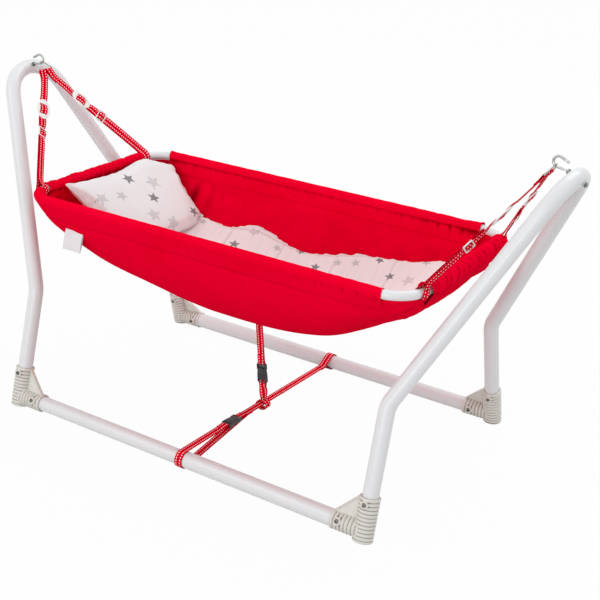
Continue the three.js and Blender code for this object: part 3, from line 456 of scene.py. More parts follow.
def red_cloth():
    finish = Finish("red_cloth", tone(226, 0, 44), 0.85, sheen_weight=0.06, sheen_roughness=0.4)
    finish.feed(finish.shader.inputs["Sheen Tint"], (1.0, 0.05, 0.12, 1))
    finish.feed(finish.shader.inputs["Specular IOR Level"], 0.0)
    place = finish.place()
    x, y, z = finish.split(place)
    thread = FULL_TURN / 0.0011
    warp = (x * thread).apply("SINE")
    weft = ((y + z) * thread).apply("SINE")
    weave = (warp * weft) * 0.25 + 0.5
    cloud = finish.noise(place, 7.0, 3.0)
    slub = finish.noise(place, 60.0, 4.0, 0.6)
    shade = cloud * 0.45 + slub * 0.25 + weave * 0.3
    colour = finish.blend(shade.step(0.25, 0.75), tone(222, 0, 40), tone(242, 0, 52))
    # painted shade: folds darkened towards a deep red by their depth
    finish.colour(finish.blend(finish.hollow() * 0.85, colour, tone(120, 0, 16)))
    finish.roughness(0.74 + slub * 0.16)
    finish.relief(weave * 0.6 + slub * 0.6, 0.0003)
    return finish.material


def red_webbing():
    """Webbing whose map runs across its width in shares and along it in metres."""
    finish = Finish("red_webbing", tone(212, 6, 40), 0.75)
    finish.feed(finish.shader.inputs["Specular IOR Level"], 0.0)
    across, along, _ = finish.split(finish.uv())
    from_middle = (across - 0.5).apply("ABSOLUTE") * WEB_WIDE
    pitch = 6.4 * MM
    side = (across - 0.5).apply("GREATER_THAN", 0.0)
    beat = ((along + side * 0.4 * pitch) % pitch) / pitch
    dash = (beat - 0.5).apply("ABSOLUTE").step(0.25, 0.2)
    stripe = (from_middle - 5.0).apply("ABSOLUTE").step(1.35, 1.0)
    stitches = dash * stripe
    border = from_middle.step(8.2, 9.0)
    rib = ((along * (FULL_TURN / (1.3 * MM)) + from_middle * 2.4).apply("SINE")) * 0.5 + 0.5
    cloud = finish.noise(finish.place(), 80.0, 3.0)
    red = finish.blend(cloud * 0.6 + rib * 0.4, tone(206, 0, 36), tone(234, 0, 48))
    red = finish.blend(border * 0.35, red, tone(176, 0, 30))
    finish.colour(finish.blend(stitches, red, tone(252, 240, 240)))
    finish.roughness(0.66 + cloud * 0.15)
    finish.relief(rib * 0.35 + stitches * 0.6, 0.0004)
    return finish.material


def milky_plastic():
    finish = Finish("milky_plastic", tone(236, 238, 235), 0.34, transmission_weight=0.1, ior=1.46)
    cloud = finish.noise(finish.place(), 120.0, 3.0)
    finish.colour(finish.blend(cloud, tone(231, 234, 231), tone(243, 244, 241)))
    finish.roughness(0.3 + cloud * 0.15)
    return finish.material


def black_moulding():
    finish = Finish("black_moulding", tone(38, 40, 43), 0.42)
    cloud = finish.noise(finish.place(), 220.0, 3.0)
    finish.colour(finish.blend(cloud, tone(30, 32, 34), tone(50, 53, 56)))
    finish.roughness(0.36 + cloud * 0.2)
    finish.relief(finish.noise(finish.place(), 1500.0, 2.0), 0.0001)
    return finish.material


def star_mask(across, down, centre, size, turn):
    """1 inside a five-pointed star at a centre, worked out in one fifth of it."""
    fifth = FULL_TURN / 5
    waist = 0.44
    a = across - centre[0] * MM
    d = down - centre[1] * MM
    far = (a * a + d * d).apply("SQRT")
    angle = (d.apply("ARCTAN2", a) + turn) % fifth
    from_tip = fifth / 2 - (angle - fifth / 2).apply("ABSOLUTE")
    side_x = waist * math.sin(fifth / 2)
    side_y = 1 - waist * math.cos(fifth / 2)
    edge = far * (from_tip.apply("COSINE") * side_x + from_tip.apply("SINE") * side_y)
    reach = side_x * size * MM
    return edge.step(reach, reach * 0.9)


def printed_cotton(name, across_of, solid_stars, pale_stars, ruled_stars, grounds):
    """White cotton printed with plain stars: solid, pale, and ruled in short dashes."""
    finish = Finish(name, grounds[1], 0.85, sheen_weight=0.08)
    place = finish.place()
    across, down = across_of(finish, place)
    cloud = finish.noise(place, 11.0, 3.0)
    colour = finish.blend(cloud, *grounds)

    def mask_of(stars):
        total = None
        for star in stars:
            mask = star_mask(across, down, *star)
            total = mask if total is None else total.apply("MAXIMUM", mask)
        return total

    ink = finish.noise(place, 700.0, 2.0) * 0.3 + 0.68
    colour = finish.blend(mask_of(solid_stars) * ink, colour, tone(92, 90, 96))
    colour = finish.blend(mask_of(pale_stars) * 0.75, colour, tone(186, 184, 182))
    if ruled_stars:
        pitch = 4.4 * MM
        rows = ((down + across * 0.35) % pitch / pitch).step(0.42, 0.34)
        dashes = ((across + down * 0.2) % (pitch * 1.4) / (pitch * 1.4)).step(0.75, 0.68)
        colour = finish.blend(mask_of(ruled_stars) * rows * dashes, colour, tone(104, 102, 108))
    thread = FULL_TURN / 0.0009
    x, y, z = finish.split(place)
    weave = ((x * thread).apply("SINE") * ((y + z) * thread).apply("SINE")) * 0.25 + 0.5
    # painted shade: creases and folds darkened by their depth
    finish.colour(finish.blend(finish.hollow() * 0.5, colour, tone(170, 160, 162)))
    finish.roughness(0.8 + cloud * 0.1)
    finish.relief(weave * 0.5 + finish.noise(place, 45.0, 4.0, 0.6), 0.0006)
    return finish.material


def label_cloth():
    finish = Finish("label_cloth", tone(226, 222, 224), 0.75)
    place = finish.place()
    x, y, z = finish.split(place)
    weave = (z * (FULL_TURN / 0.0007)).apply("SINE") * (x * (FULL_TURN / 0.0007)).apply("SINE")
    cloud = finish.noise(place, 60.0, 3.0)
    finish.colour(finish.blend(cloud, tone(221, 216, 219), tone(231, 228, 230)))
    finish.relief(weave * 0.25 + 0.5, 0.00015)
    return finish.material


def sewing_thread(name, colour):
    finish = Finish(name, colour, 0.6)
    cloud = finish.noise(finish.place(), 500.0, 2.0)
    finish.colour(finish.blend(cloud, tuple(0.8 * c for c in colour), colour))
    return finish.material


PILLOW_MIDDLE = (PILLOW_TOP + PILLOW_FOOT) / 2
PILLOW_LONG = float(np.linalg.norm(PILLOW_FOOT - PILLOW_TOP))
PILLOW_DOWN = (PILLOW_FOOT - PILLOW_TOP) / PILLOW_LONG
PILLOW_OUT = np.cross(PILLOW_DOWN, BACK) * (1 if np.cross(PILLOW_DOWN, BACK)[2] > 0 else -1)


def on_pillow(finish, place):
    x, y, z = finish.split(place)
    down = (x - PILLOW_MIDDLE[0] * MM) * PILLOW_DOWN[0] + (z - PILLOW_MIDDLE[2] * MM) * PILLOW_DOWN[2]
    return y - PILLOW_MIDDLE[1] * MM, down


def on_mattress(finish, place):
    """Along the mattress, and across it with its rising edges laid flat."""
    x, y, z = finish.split(place)
    return x, y + (z - RIM_Z * MM) * 0.7


finishes = {
    "enamel": white_enamel(),
    "ivory": ivory_moulding(),
    "zinc": zinc_plate("zinc_wire", tone(196, 199, 197), tone(150, 154, 150)),
    "nut": zinc_plate("zinc_nut", tone(150, 158, 150), tone(84, 96, 86)),
    "screw": zinc_plate("screw_steel", tone(150, 146, 140), tone(58, 54, 50)),
    "cloth": red_cloth(),
    "web": red_webbing(),
    "milky": milky_plastic(),
    "black": black_moulding(),
    "label": label_cloth(),
    "red_thread": sewing_thread("red_thread", tone(186, 4, 36)),
    "pillow": printed_cotton(
        "pillow_cotton", on_pillow,
        [((-9, -65), 20, 0.3), ((18, 8), 19, 0.9), ((110, 81), 17, 0.5)],
        [((-70, -27), 19, 0.7), ((-130, 60), 17, 0.1)],
        [((54, -32), 27, 0.35), ((-23, 52), 24, 0.1), ((20, 88), 24, 0.9), ((-128, -40), 22, 0.5)],
        (tone(225, 224, 226), tone(233, 232, 233))),
    "mattress": printed_cotton(
        "mattress_cotton", on_mattress,
        [((-242, 98), 13, 0.4), ((-182, 35), 17, 0.7), ((-7, 80), 13, 0.2), ((52, 41), 15, 0.9),
         ((209, 109), 14, 0.3), ((254, 64), 15, 0.6), ((-330, 57), 16, 0.1), ((-60, -43), 16, 0.5),
         ((120, -113), 16, 0.2), ((-150, -183), 16, 0.8), ((320, -33), 16, 0.4), ((30, -233), 15, 0.6),
         ((230, -213), 15, 0.1), ((-280, -63), 15, 0.9), ((380, -123), 15, 0.3)],
        [((-296, 75), 14, 0.9), ((-71, 68), 14, 0.3), ((150, 84), 14, 0.6), ((333, 123), 14, 0.2),
         ((104, 72), 14, 0.8), ((-110, 7), 15, 0.4), ((180, -3), 15, 0.1), ((-220, -123), 15, 0.6),
         ((60, -153), 15, 0.9), ((300, -153), 15, 0.5), ((-20, -123), 15, 0.2)],
        [((-150, 97), 20, 0.2), ((312, 52), 24, 0.5), ((-40, -193), 20, 0.4), ((200, -93), 20, 0.8)],
        (tone(244, 231, 233), tone(248, 237, 239))),
}


# Making meshes
def unit(v):
    v = np.asarray(v, float)
    return v / np.linalg.norm(v)


def solid(name, points, faces, finish, body, smooth=True, uv=None):
    """An object of one mesh, made of points in millimetres, that rides on a body."""
    mesh = bpy.data.meshes.new(name)
    mesh.from_pydata((np.asarray(points, float) * MM).tolist(), [], faces)
    if uv is not None:
        layer = mesh.uv_layers.new(name="cloth")
        corners = np.empty(len(mesh.loops), int)
        mesh.loops.foreach_get("vertex_index", corners)
        layer.data.foreach_set("uv", np.asarray(uv, float)[corners].ravel())
    mesh.polygons.foreach_set("use_smooth", [smooth] * len(mesh.polygons))
    mesh.materials.append(finishes[finish])
    mesh.update()
    piece = bpy.data.objects.new(name, mesh)
    bpy.context.scene.collection.objects.link(piece)
    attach(piece, body)
    return piece


def shown_for(piece, node):
    """A piece that shows in place of a node of the frame, whose node is hidden."""
    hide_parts(node)
    return piece


def outward(piece):
    """Turns all faces of a piece outwards."""
    work = bmesh.new()
    work.from_mesh(piece.data)
    bmesh.ops.recalc_face_normals(work, faces=work.faces)
    work.to_mesh(piece.data)
    work.free()
    return piece


def skin(rings, loop=False, caps=True, round_section=True):
    """Points and faces over rings of points; caps close the ends with one face each."""
    rings = np.asarray(rings, float)
    count, around = rings.shape[:2]
    points = rings.reshape(-1, 3)
    faces = []
    spans = around if round_section else around - 1
    for i in range(count if loop else count - 1):
        a, b = i * around, (i + 1) % count * around
        for k in range(spans):
            m = (k + 1) % around
            faces.append((a + k, a + m, b + m, b + k))
    if caps and not loop:
        faces.append(tuple(range(around))[::-1])
        faces.append(tuple((count - 1) * around + k for k in range(around)))
    return points, faces


def merged(*parts):
    """Several pairs of points and faces as one."""
    points, faces, start = [], [], 0
    for some_points, some_faces in parts:
        points.append(np.asarray(some_points, float))
        faces.extend(tuple(start + i for i in face) for face in some_faces)
        start += len(some_points)
    return np.concatenate(points), faces


def circle(radius, sides):
    angles = np.arange(sides) * FULL_TURN / sides
    return np.stack([radius * np.cos(angles), radius * np.sin(angles)], 1)


def cross_way(axis):
    """One direction square to an axis."""
    return unit(np.cross(axis, RIGHT if abs(axis[0]) < 0.9 else BACK))


def cosine_grid(count):
    """Shares from -1 to 1 that stand close together near both ends."""
    return np.sin(np.linspace(-math.pi / 2, math.pi / 2, count))


def frames_along(tangents):
    """Two cross directions for each tangent, carried along with no twist."""
    firsts = [cross_way(tangents[0])]
    for tangent in tangents[1:]:
        last = firsts[-1]
        firsts.append(unit(last - tangent * np.dot(last, tangent)))
    firsts = np.array(firsts)
    return firsts, np.cross(tangents, firsts)


def round_tube(points, tangents, radii, sides, rounding=0.0):
    """A closed round tube along points; rounding softens its two ends."""
    points = np.asarray(points, float)
    tangents = np.array([unit(t) for t in tangents])
    radii = np.full(len(points), radii, float) if np.isscalar(radii) else np.asarray(radii, float)
    if rounding > 0:
        steps = np.radians([0, 30, 60])
        head = [points[0] + tangents[0] * rounding * (1 - math.cos(t)) for t in steps]
        tail = [points[-1] - tangents[-1] * rounding * (1 - math.cos(t)) for t in steps[::-1]]
        head_r = [radii[0] - rounding * (1 - math.sin(t)) for t in steps]
        tail_r = [radii[-1] - rounding * (1 - math.sin(t)) for t in steps[::-1]]
        inner = points.copy()
        inner[0] = points[0] + tangents[0] * rounding
        inner[-1] = points[-1] - tangents[-1] * rounding
        points = np.concatenate([head, inner, tail])
        radii = np.concatenate([head_r, radii, tail_r])
        tangents = np.concatenate([[tangents[0]] * 3, tangents, [tangents[-1]] * 3])
    first, second = frames_along(tangents)
    section = circle(1.0, sides)
    rings = points[:, None] + radii[:, None, None] * (
        section[None, :, :1] * first[:, None] + section[None, :, 1:] * second[:, None])
    return skin(rings)


def closed_ring(points, tangents, firsts, radius, sides):
    """A ring of round wire or tube along points, with one cross direction at each."""
    section = circle(radius, sides)
    rings = [p + section[:, :1] * first + section[:, 1:] * np.cross(tangent, first)
             for p, tangent, first in zip(points, tangents, firsts)]
    return skin(rings, loop=True)


def bent_path(corners, bends, step):
    """Points and tangents along straight runs, in steps, joined by round bends of (radius, steps)."""
    corners = [np.asarray(c, float) for c in corners]
    heading = [unit(b - a) for a, b in zip(corners, corners[1:])]
    points, tangents = [corners[0]], [heading[0]]

    def run_to(target, tangent):
        gap = np.linalg.norm(target - points[-1])
        count = max(int(gap / step), 1)
        start = points[-1]
        for i in range(1, count + 1):
            points.append(start + (target - start) * i / count)
            tangents.append(tangent)

    for i, (radius, steps) in enumerate(bends):
        inward, outward_way = heading[i], heading[i + 1]
        turn = math.acos(np.clip(inward @ outward_way, -1, 1))
        reach = radius * math.tan(turn / 2)
        side = unit(outward_way - inward * (inward @ outward_way))
        start = corners[i + 1] - inward * reach
        run_to(start, inward)
        for k in range(1, steps + 1):
            angle = turn * k / steps
            points.append(start + inward * radius * math.sin(angle) + side * radius * (1 - math.cos(angle)))
            tangents.append(inward * math.cos(angle) + side * math.sin(angle))
    run_to(corners[-1], heading[-1])
    return np.array(points), np.array(tangents)


def lathe(profile, sides, origin, axis):
    """A closed form turned round an axis from (radius, height) points."""
    axis = unit(axis)
    first = cross_way(axis)
    second = np.cross(axis, first)
    section = circle(1.0, sides)
    rings = [
        np.asarray(origin) + axis * high + radius * (section[:, :1] * first + section[:, 1:] * second)
        for radius, high in profile
    ]
    return skin(rings)


def bevelled(size, centre, axes, bevel):
    """A block with rounded edges, given by its three sizes along three axes."""
    work = bmesh.new()
    bmesh.ops.create_cube(work, size=1.0)
    bmesh.ops.scale(work, vec=Vector(size), verts=work.verts)
    bmesh.ops.bevel(work, geom=list(work.edges), offset=bevel, segments=2, affect="EDGES", profile=0.5)
    work.verts.index_update()
    local = np.array([v.co[:] for v in work.verts])
    faces = [tuple(v.index for v in f.verts) for f in work.faces]
    work.free()
    return np.asarray(centre) + local @ np.array(axes), faces


def places_of(mesh):
    places = np.empty(len(mesh.vertices) * 3)
    mesh.vertices.foreach_get("co", places)
    return places.reshape(-1, 3)


def mark_fold_shade(piece, rounds, deep):
    """Writes how deep each point lies in a fold, from 0 to 1, for the finish to darken as painted shade."""
    mesh = piece.data
    places = places_of(mesh)
    count = len(places)
    normals = np.empty(count * 3)
    mesh.vertices.foreach_get("normal", normals)
    normals = normals.reshape(-1, 3)
    edges = np.empty(len(mesh.edges) * 2, int)
    mesh.edges.foreach_get("vertices", edges)
    a, b = edges.reshape(-1, 2).T
    share = np.maximum(np.bincount(a, minlength=count) + np.bincount(b, minlength=count), 1)[:, None]
    eased = places.copy()
    for _ in range(rounds):
        near = np.stack([np.bincount(a, eased[b, i], count) + np.bincount(b, eased[a, i], count)
                         for i in range(3)], 1)
        eased = near / share
    hollow = np.clip(((eased - places) * normals).sum(1) / (deep * MM), 0, 1)
    layer = mesh.attributes.new("hollow", "FLOAT", "POINT")
    layer.data.foreach_set("value", hollow)


def applied(piece):
    """Bakes a piece's modifiers into its mesh."""
    depsgraph = bpy.context.evaluated_depsgraph_get()
    finished = bpy.data.meshes.new_from_object(piece.evaluated_get(depsgraph))
    piece.modifiers.clear()
    old = piece.data
    piece.data = finished
    bpy.data.meshes.remove(old)
    return piece


def leg_point(z, sx, sy):
    share = (z - AXIS_Z) / (KINK[2] - AXIS_Z)
    x = FOOT_X + (KINK[0] - FOOT_X) * share
    y = FOOT_Y + (KINK[1] - FOOT_Y) * share
    return np.array([sx * x, sy * y, z])


# The plane of the two upper legs of an end: up along it, and inward across it
PLANE_UP = unit([LEG_SPLAY, 0, 1])
PLANE_IN = np.array([-PLANE_UP[2], 0, PLANE_UP[0]])
PEAK = np.array([KINK[0] + LEG_SPLAY * KINK[1] / LEG_CLOSE, 0, KINK[2] + KINK[1] / LEG_CLOSE])
HALF_ANGLE = math.atan2(LEG_CLOSE, math.hypot(LEG_SPLAY, 1))
CROWN = PEAK - PLANE_UP * APEX_BEND_R * (1 / math.sin(HALF_ANGLE) - 1)


def hook_point(along, up):
    return CROWN + PLANE_IN * along + PLANE_UP * up


def mirrored(points, sx):
    return np.asarray(points) * np.array([sx, 1, 1])


# Stand
def make_end_frame(side, sx):
    corners = [leg_point(LEG_SEAT, sx, -1), leg_point(KINK[2], sx, -1), mirrored(PEAK, sx),
               leg_point(KINK[2], sx, 1), leg_point(LEG_SEAT, sx, 1)]
    points, tangents = bent_path(corners, [(KINK_BEND_R, 14), (APEX_BEND_R, 40), (KINK_BEND_R, 14)], 40.0)
    made = round_tube(points, tangents, LEG_R, TUBE_SIDES, LEG_EDGE)
    piece = solid(f"{side}_end_tube", *made, "enamel", "frame")
    shown_for(piece, f"{side}_end_frame")


def make_floor_tube(name, sy, thick_side):
    """The thick half stops with a rolled edge over the thin half."""
    centre = np.array([0.0, sy * FOOT_Y, AXIS_Z])
    halves = {
        -thick_side: (-thick_side * TUBE_END_X, thick_side * JOIN_LAP, LEG_R),
        thick_side: (JOIN_X, thick_side * TUBE_END_X, THICK_R),
    }
    for half, (from_x, to_x, radius) in halves.items():
        side = "left" if half < 0 else "right"
        ends = sorted([from_x, to_x])
        path = [centre + RIGHT * x for x in np.linspace(*ends, 8)]
        made = round_tube(path, [RIGHT] * len(path), radius, TUBE_SIDES, FLOOR_EDGE)
        piece = solid(f"{name}_floor_{side}_half", *made, "enamel", "frame")
        shown_for(piece, f"{name}_floor_tube_{side}")


def screw_spots(sx, sy):
    axis = unit(leg_point(KINK[2], sx, sy) - leg_point(AXIS_Z, sx, sy))
    front = -BACK
    lean = FRONT_SCREW_LEAN if sy < 0 else 0.0
    square = unit(front - axis * (front @ axis))
    lying = np.array([sx * LYING_SCREW_X, sy * FOOT_Y, AXIS_Z])
    return [("lying", lying, front * math.cos(lean) + UP * math.sin(lean)),
            ("upright", leg_point(UPRIGHT_SCREW_Z, sx, sy), square)]


def ribbed_limb(start, axis, length, pitch, radius, boss_at, boss_out, foot=0.0):
    """A moulded socket: round ribs that stop at its screw boss, with a rolled mouth and a worn foot."""
    sides, step = 120, 0.6
    second = np.cross(axis, boss_out)
    stations = np.arange(0.0, length + step / 2, step)
    rings = []
    for s in stations:
        ring = []
        centre = start + axis * s
        for k in range(sides):
            angle = FULL_TURN * k / sides
            turn = (angle + math.pi) % FULL_TURN - math.pi
            from_boss = math.hypot(s - boss_at, turn * radius)
            rib = RIB_DEEP * (1 - abs(math.sin(math.pi * (length - s) / pitch)) ** 0.85)
            reach = radius + 0.5 - rib
            end = length - s
            if end < pitch / 2:
                reach = radius + 0.5 - 1.2 * max(0.0, 1 - end / 1.4) ** 2
            boss = smoothstep(from_boss, BOSS_R + 1.6, BOSS_R - 0.2)
            well = smoothstep(from_boss, SCREW_HEAD_R + 1.2, SCREW_HEAD_R + 0.5)
            out_to = SOCKET_R + BOSS_PROUD - BOSS_WELL * well
            if boss > 0 and abs(turn) < 1.2:
                flat = out_to / max(math.cos(turn), 0.35)
                reach = reach * (1 - boss) + min(flat, radius + 5.0) * boss
            if s < foot:
                reach -= 1.4 * (1 - s / foot) ** 2
            ring.append(centre + reach * (math.cos(angle) * boss_out + math.sin(angle) * second))
        rings.append(ring)
    mouth = [start + axis * (length - 0.4) + (LEG_R + 0.8) * (p - start - axis * stations[-1])
             / np.linalg.norm(p - start - axis * stations[-1]) for p in np.array(rings[-1])]
    floor = [start + axis * (length - 6.0) + (p - start - axis * (length - 0.4)) for p in mouth]
    return skin([*rings, mouth, floor])


def make_connector(side, depth_side, sx, sy):
    foot = leg_point(0.0, sx, sy)
    axis = unit(leg_point(KINK[2], sx, sy) - foot)
    tilt = axis[2]
    (_, lying_spot, front), (_, upright_spot, square) = screw_spots(sx, sy)
    upright = ribbed_limb(foot, axis, MOUTH_Z / tilt, UPRIGHT_RIB, SOCKET_R, (upright_spot - foot) @ axis,
                          square, FOOT_WORN)
    points = upright[0]
    sunk = points[:, 2] < 0.6
    points[sunk, 2] = np.maximum(points[sunk, 2], 0.02)
    start = np.array([sx * (FOOT_X - LYING_INSET), sy * FOOT_Y, AXIS_Z])
    way = -RIGHT * sx
    lying = ribbed_limb(start, way, FOOT_X - LYING_INSET - MOUTH_X, LYING_RIB, SOCKET_R - LYING_SLIMMER,
                        (lying_spot - start) @ way, front)
    top = leg_point(MOUTH_Z - GUSSET_BELOW_MOUTH, sx, sy) - RIGHT * sx * (SOCKET_R - GUSSET_SINK)
    toe = np.array([sx * (MOUTH_X + GUSSET_BELOW_MOUTH), sy * FOOT_Y, AXIS_Z + SOCKET_R - GUSSET_SINK])
    inner = np.array([sx * (FOOT_X - 8), sy * FOOT_Y, AXIS_Z + 8])
    upper_back = leg_point(MOUTH_Z - 8.0, sx, sy)
    outline = [top, toe, inner, upper_back]
    web = skin([[p + BACK * off for p in outline] for off in (-GUSSET_THICK / 2 + 1, GUSSET_THICK / 2 - 1)])
    slope = unit(toe - top)
    normal = unit(np.cross(BACK, slope))
    run = np.linalg.norm(toe - top)
    lip = bevelled((run + 3, GUSSET_LIP, GUSSET_LIP_HIGH), (top + toe) / 2, (slope, BACK, normal), 1.0)
    piece = outward(solid(f"{side}_{depth_side}_corner", *merged(upright, lying, web, lip), "ivory", "frame"))
    mark_fold_shade(piece, rounds=36, deep=1.0)
    piece.data.set_sharp_from_angle(angle=math.radians(60))
    shown_for(piece, f"{side}_{depth_side}_connector")


def make_screws(side, depth_side, sx, sy):
    for limb, centre, out in screw_spots(sx, sy):
        seat = SOCKET_R + BOSS_PROUD + GAP
        dome = [(SCREW_HEAD_R * wide, seat + SCREW_HEAD_HIGH * high)
                for wide, high in ((0.98, 0.45), (0.8, 0.82), (0.45, 1))]
        profile = [(0.05, seat), (SCREW_HEAD_R * 0.9, seat), (SCREW_HEAD_R, seat + 0.4), *dome,
                   (0.05, seat + SCREW_HEAD_HIGH)]
        head = outward(solid(f"{side}_{depth_side}_{limb}_screw_head", *lathe(profile, 40, centre, out),
                             "screw", "frame"))
        across = unit(np.cross(out, UP))
        upward = np.cross(across, out)
        middle = centre + out * (seat + SCREW_HEAD_HIGH)
        arms = [bevelled((5.4, 1.3, 3.2), middle, (a, b, out), 0.2) for a, b in
                ((across, upward), (upward, -across))]
        cutter = outward(solid("cross_cutter", *merged(*arms), "screw", "frame"))
        cut = head.modifiers.new("recess", "BOOLEAN")
        cut.operation = "DIFFERENCE"
        cut.solver = "EXACT"
        cut.use_self = True
        cut.object = cutter
        applied(head)
        bpy.data.objects.remove(cutter)
        head.data.polygons.foreach_set("use_smooth", [False] * len(head.data.polygons))
        shown_for(head, f"{side}_{depth_side}_{limb}_screw")


# Hooks
def hook_path():
    """Middle line of a hook in its own plane, with its heading."""
    centre = np.array([HOOK_CENTRE_ALONG, HOOK_CENTRE_UP])
    start = np.array([HOOK_BEND_AT, 0.0])
    reach = centre - start
    heading = math.atan2(reach[1], reach[0]) - math.asin(HOOK_R / np.linalg.norm(reach))
    lead = [(np.array([x, 0.0]), 0.0) for x in np.arange(-HOOK_TAIL, HOOK_BEND_AT - 2.0, THREAD_PITCH / 6)]
    stations = lead + [(start, heading / 2)]
    first_turn = heading - math.pi / 2
    for k in range(49):
        turn = first_turn + (math.pi / 2 - first_turn) * k / 48
        stations.append((centre + HOOK_R * np.array([math.cos(turn), math.sin(turn)]), turn + math.pi / 2))
    stations.append((np.array([HOOK_TIP_ALONG, HOOK_CENTRE_UP + HOOK_R]), math.pi))
    return stations


def make_hook(side, sx):
    points, tangents, radii = [], [], []
    for at, angle in hook_path():
        points.append(mirrored(hook_point(*at), sx))
        tangents.append(mirrored(PLANE_IN * math.cos(angle) + PLANE_UP * math.sin(angle), sx))
        phase = at[0] / THREAD_PITCH % 1.0
        threaded = angle == 0.0
        radii.append(HOOK_WIRE_R - THREAD_DEEP * abs(2 * phase - 1) if threaded else HOOK_WIRE_R)
    piece = solid(f"{side}_screw_hook", *round_tube(points, tangents, radii, 24, 0.7), "zinc", "frame")
    shown_for(piece, f"{side}_hook_bolt")
    shank = mirrored(PLANE_IN, sx)
    seat = LEG_R + GAP
    nut_at = {"inner_nut": seat, "outer_nut": -seat - WASHER_HIGH - GAP - NUT_HIGH}
    for name, along in nut_at.items():
        piece = solid(f"{side}_{name}_piece", *hexagon_nut(mirrored(hook_point(along, 0), sx), shank),
                      "nut", "frame", smooth=False)
        shown_for(piece, f"{side}_{name}")
    base = mirrored(hook_point(-seat - WASHER_HIGH, 0), sx)
    inner = HOOK_WIRE_R + 0.3
    profile = [(inner, 0.0), (WASHER_R - 0.3, 0.0), (WASHER_R, 0.3), (WASHER_R, WASHER_HIGH - 0.3),
               (WASHER_R - 0.3, WASHER_HIGH), (inner, WASHER_HIGH)]
    piece = ring_form(f"{side}_shank_washer", profile, 48, base, shank, "milky")
    shown_for(piece, f"{side}_washer")


def ring_form(name, profile, sides, origin, axis, finish):
    """A flat ring turned from a closed outline of (radius, height) points."""
    first = cross_way(axis)
    second = np.cross(axis, first)
    angles = np.arange(sides) * FULL_TURN / sides
    rings = [
        [origin + axis * h + r * (math.cos(a) * first + math.sin(a) * second) for r, h in profile]
        for a in angles
    ]
    return outward(solid(name, *skin(rings, loop=True), finish, "frame"))


def hexagon_nut(origin, axis):
    """A hexagon nut with a threaded hole and both faces chamfered."""
    first = unit(np.cross(axis, BACK))
    second = np.cross(axis, first)
    sides = 72
    angles = np.arange(sides) * FULL_TURN / sides
    sixth = FULL_TURN / 6
    flat = NUT_ACROSS / 2 / np.cos((angles + sixth / 2) % sixth - sixth / 2)
    chamfer = NUT_ACROSS / 2 + 0.15
    inner = np.full(sides, HOOK_WIRE_R + 0.2)
    face, eased = np.minimum(flat, chamfer), np.minimum(flat, chamfer + 0.35)
    rows = [(inner, 0.0), (face, 0.0), (eased, 0.25), (flat, 0.75), (flat, NUT_HIGH - 0.75),
            (eased, NUT_HIGH - 0.25), (face, NUT_HIGH), (inner, NUT_HIGH)]
    rings = []
    for i, a in enumerate(angles):
        out = math.cos(a) * first + math.sin(a) * second
        rings.append([origin + axis * high + radii[i] * out for radii, high in rows])
    return skin(rings, loop=True)


# Triangular rings: in the plane of the cradle's width and of the slings' pull
HOOK_CENTRE = hook_point(HOOK_CENTRE_ALONG, HOOK_CENTRE_UP)
SLING_FOOT = np.array([RIM_X - RIM_CORNER_R + RIM_CORNER_R * math.cos(SLING_ANGLE),
                       RIM_Y - RIM_CORNER_R + RIM_CORNER_R * math.sin(SLING_ANGLE), RIM_Z])
PULL = unit([SLING_FOOT[0] - HOOK_CENTRE[0], 0, SLING_FOOT[2] - HOOK_CENTRE[2]])
RING_APEX_ANGLE = math.atan2(RING_BAR / 2, RING_HIGH)
RING_APEX_AT = HOOK_R - HOOK_WIRE_R - GAP - RING_WIRE_R - RING_APEX_R * (1 / math.sin(RING_APEX_ANGLE) - 1)
BAR_CENTRE = HOOK_CENTRE + PULL * (RING_APEX_AT + RING_HIGH)


def make_ring(side, sx):
    apex = HOOK_CENTRE + PULL * RING_APEX_AT
    across = BACK * RING_BAR / 2
    corners = mirrored([BAR_CENTRE, BAR_CENTRE + across, apex, BAR_CENTRE - across, BAR_CENTRE], sx)
    points, tangents = bent_path(corners, [(RING_CORNER_R, 12), (RING_APEX_R, 20), (RING_CORNER_R, 12)], 6.0)
    normal = unit(np.cross(mirrored(PULL, sx), BACK))
    tangents = [unit(tangent) for tangent in tangents[:-1]]
    made = closed_ring(points[:-1], tangents, [normal] * len(tangents), RING_WIRE_R, 20)
    piece = outward(solid(f"{side}_wire_ring", *made, "zinc", "cradle"))
    shown_for(piece, f"{side}_triangle_ring")


# Rim
CORNER_RUN = RIM_CORNER_R * math.pi / 2
HALF_SIDE = RIM_X - RIM_CORNER_R
HALF_END = RIM_Y - RIM_CORNER_R
RIM_RUN = 4 * HALF_SIDE + 4 * HALF_END + 4 * CORNER_RUN


def rim_at(run):
    """Point and heading on the rim, from the middle of its rear side towards +X and round."""
    run = run % RIM_RUN
    heading = 0.0
    at = np.array([0.0, RIM_Y])
    stretches = [HALF_SIDE, None, 2 * HALF_END, None, 2 * HALF_SIDE, None, 2 * HALF_END, None, HALF_SIDE]
    for stretch in stretches:
        way = np.array([math.cos(heading), math.sin(heading)])
        if stretch is None:
            turn = min(run / RIM_CORNER_R, math.pi / 2)
            inward = np.array([math.sin(heading), -math.cos(heading)])
            here = at + RIM_CORNER_R * (way * math.sin(turn) + inward * (1 - math.cos(turn)))
            if run <= CORNER_RUN:
                new = heading - turn
                return np.array([*here, RIM_Z]), np.array([math.cos(new), math.sin(new), 0.0])
            at, heading, run = here, heading - math.pi / 2, run - CORNER_RUN
        else:
            if run <= stretch:
                return np.array([*(at + way * run), RIM_Z]), np.array([*way, 0.0])
            at, run = at + way * stretch, run - stretch
    return np.array([0.0, RIM_Y, RIM_Z]), RIGHT


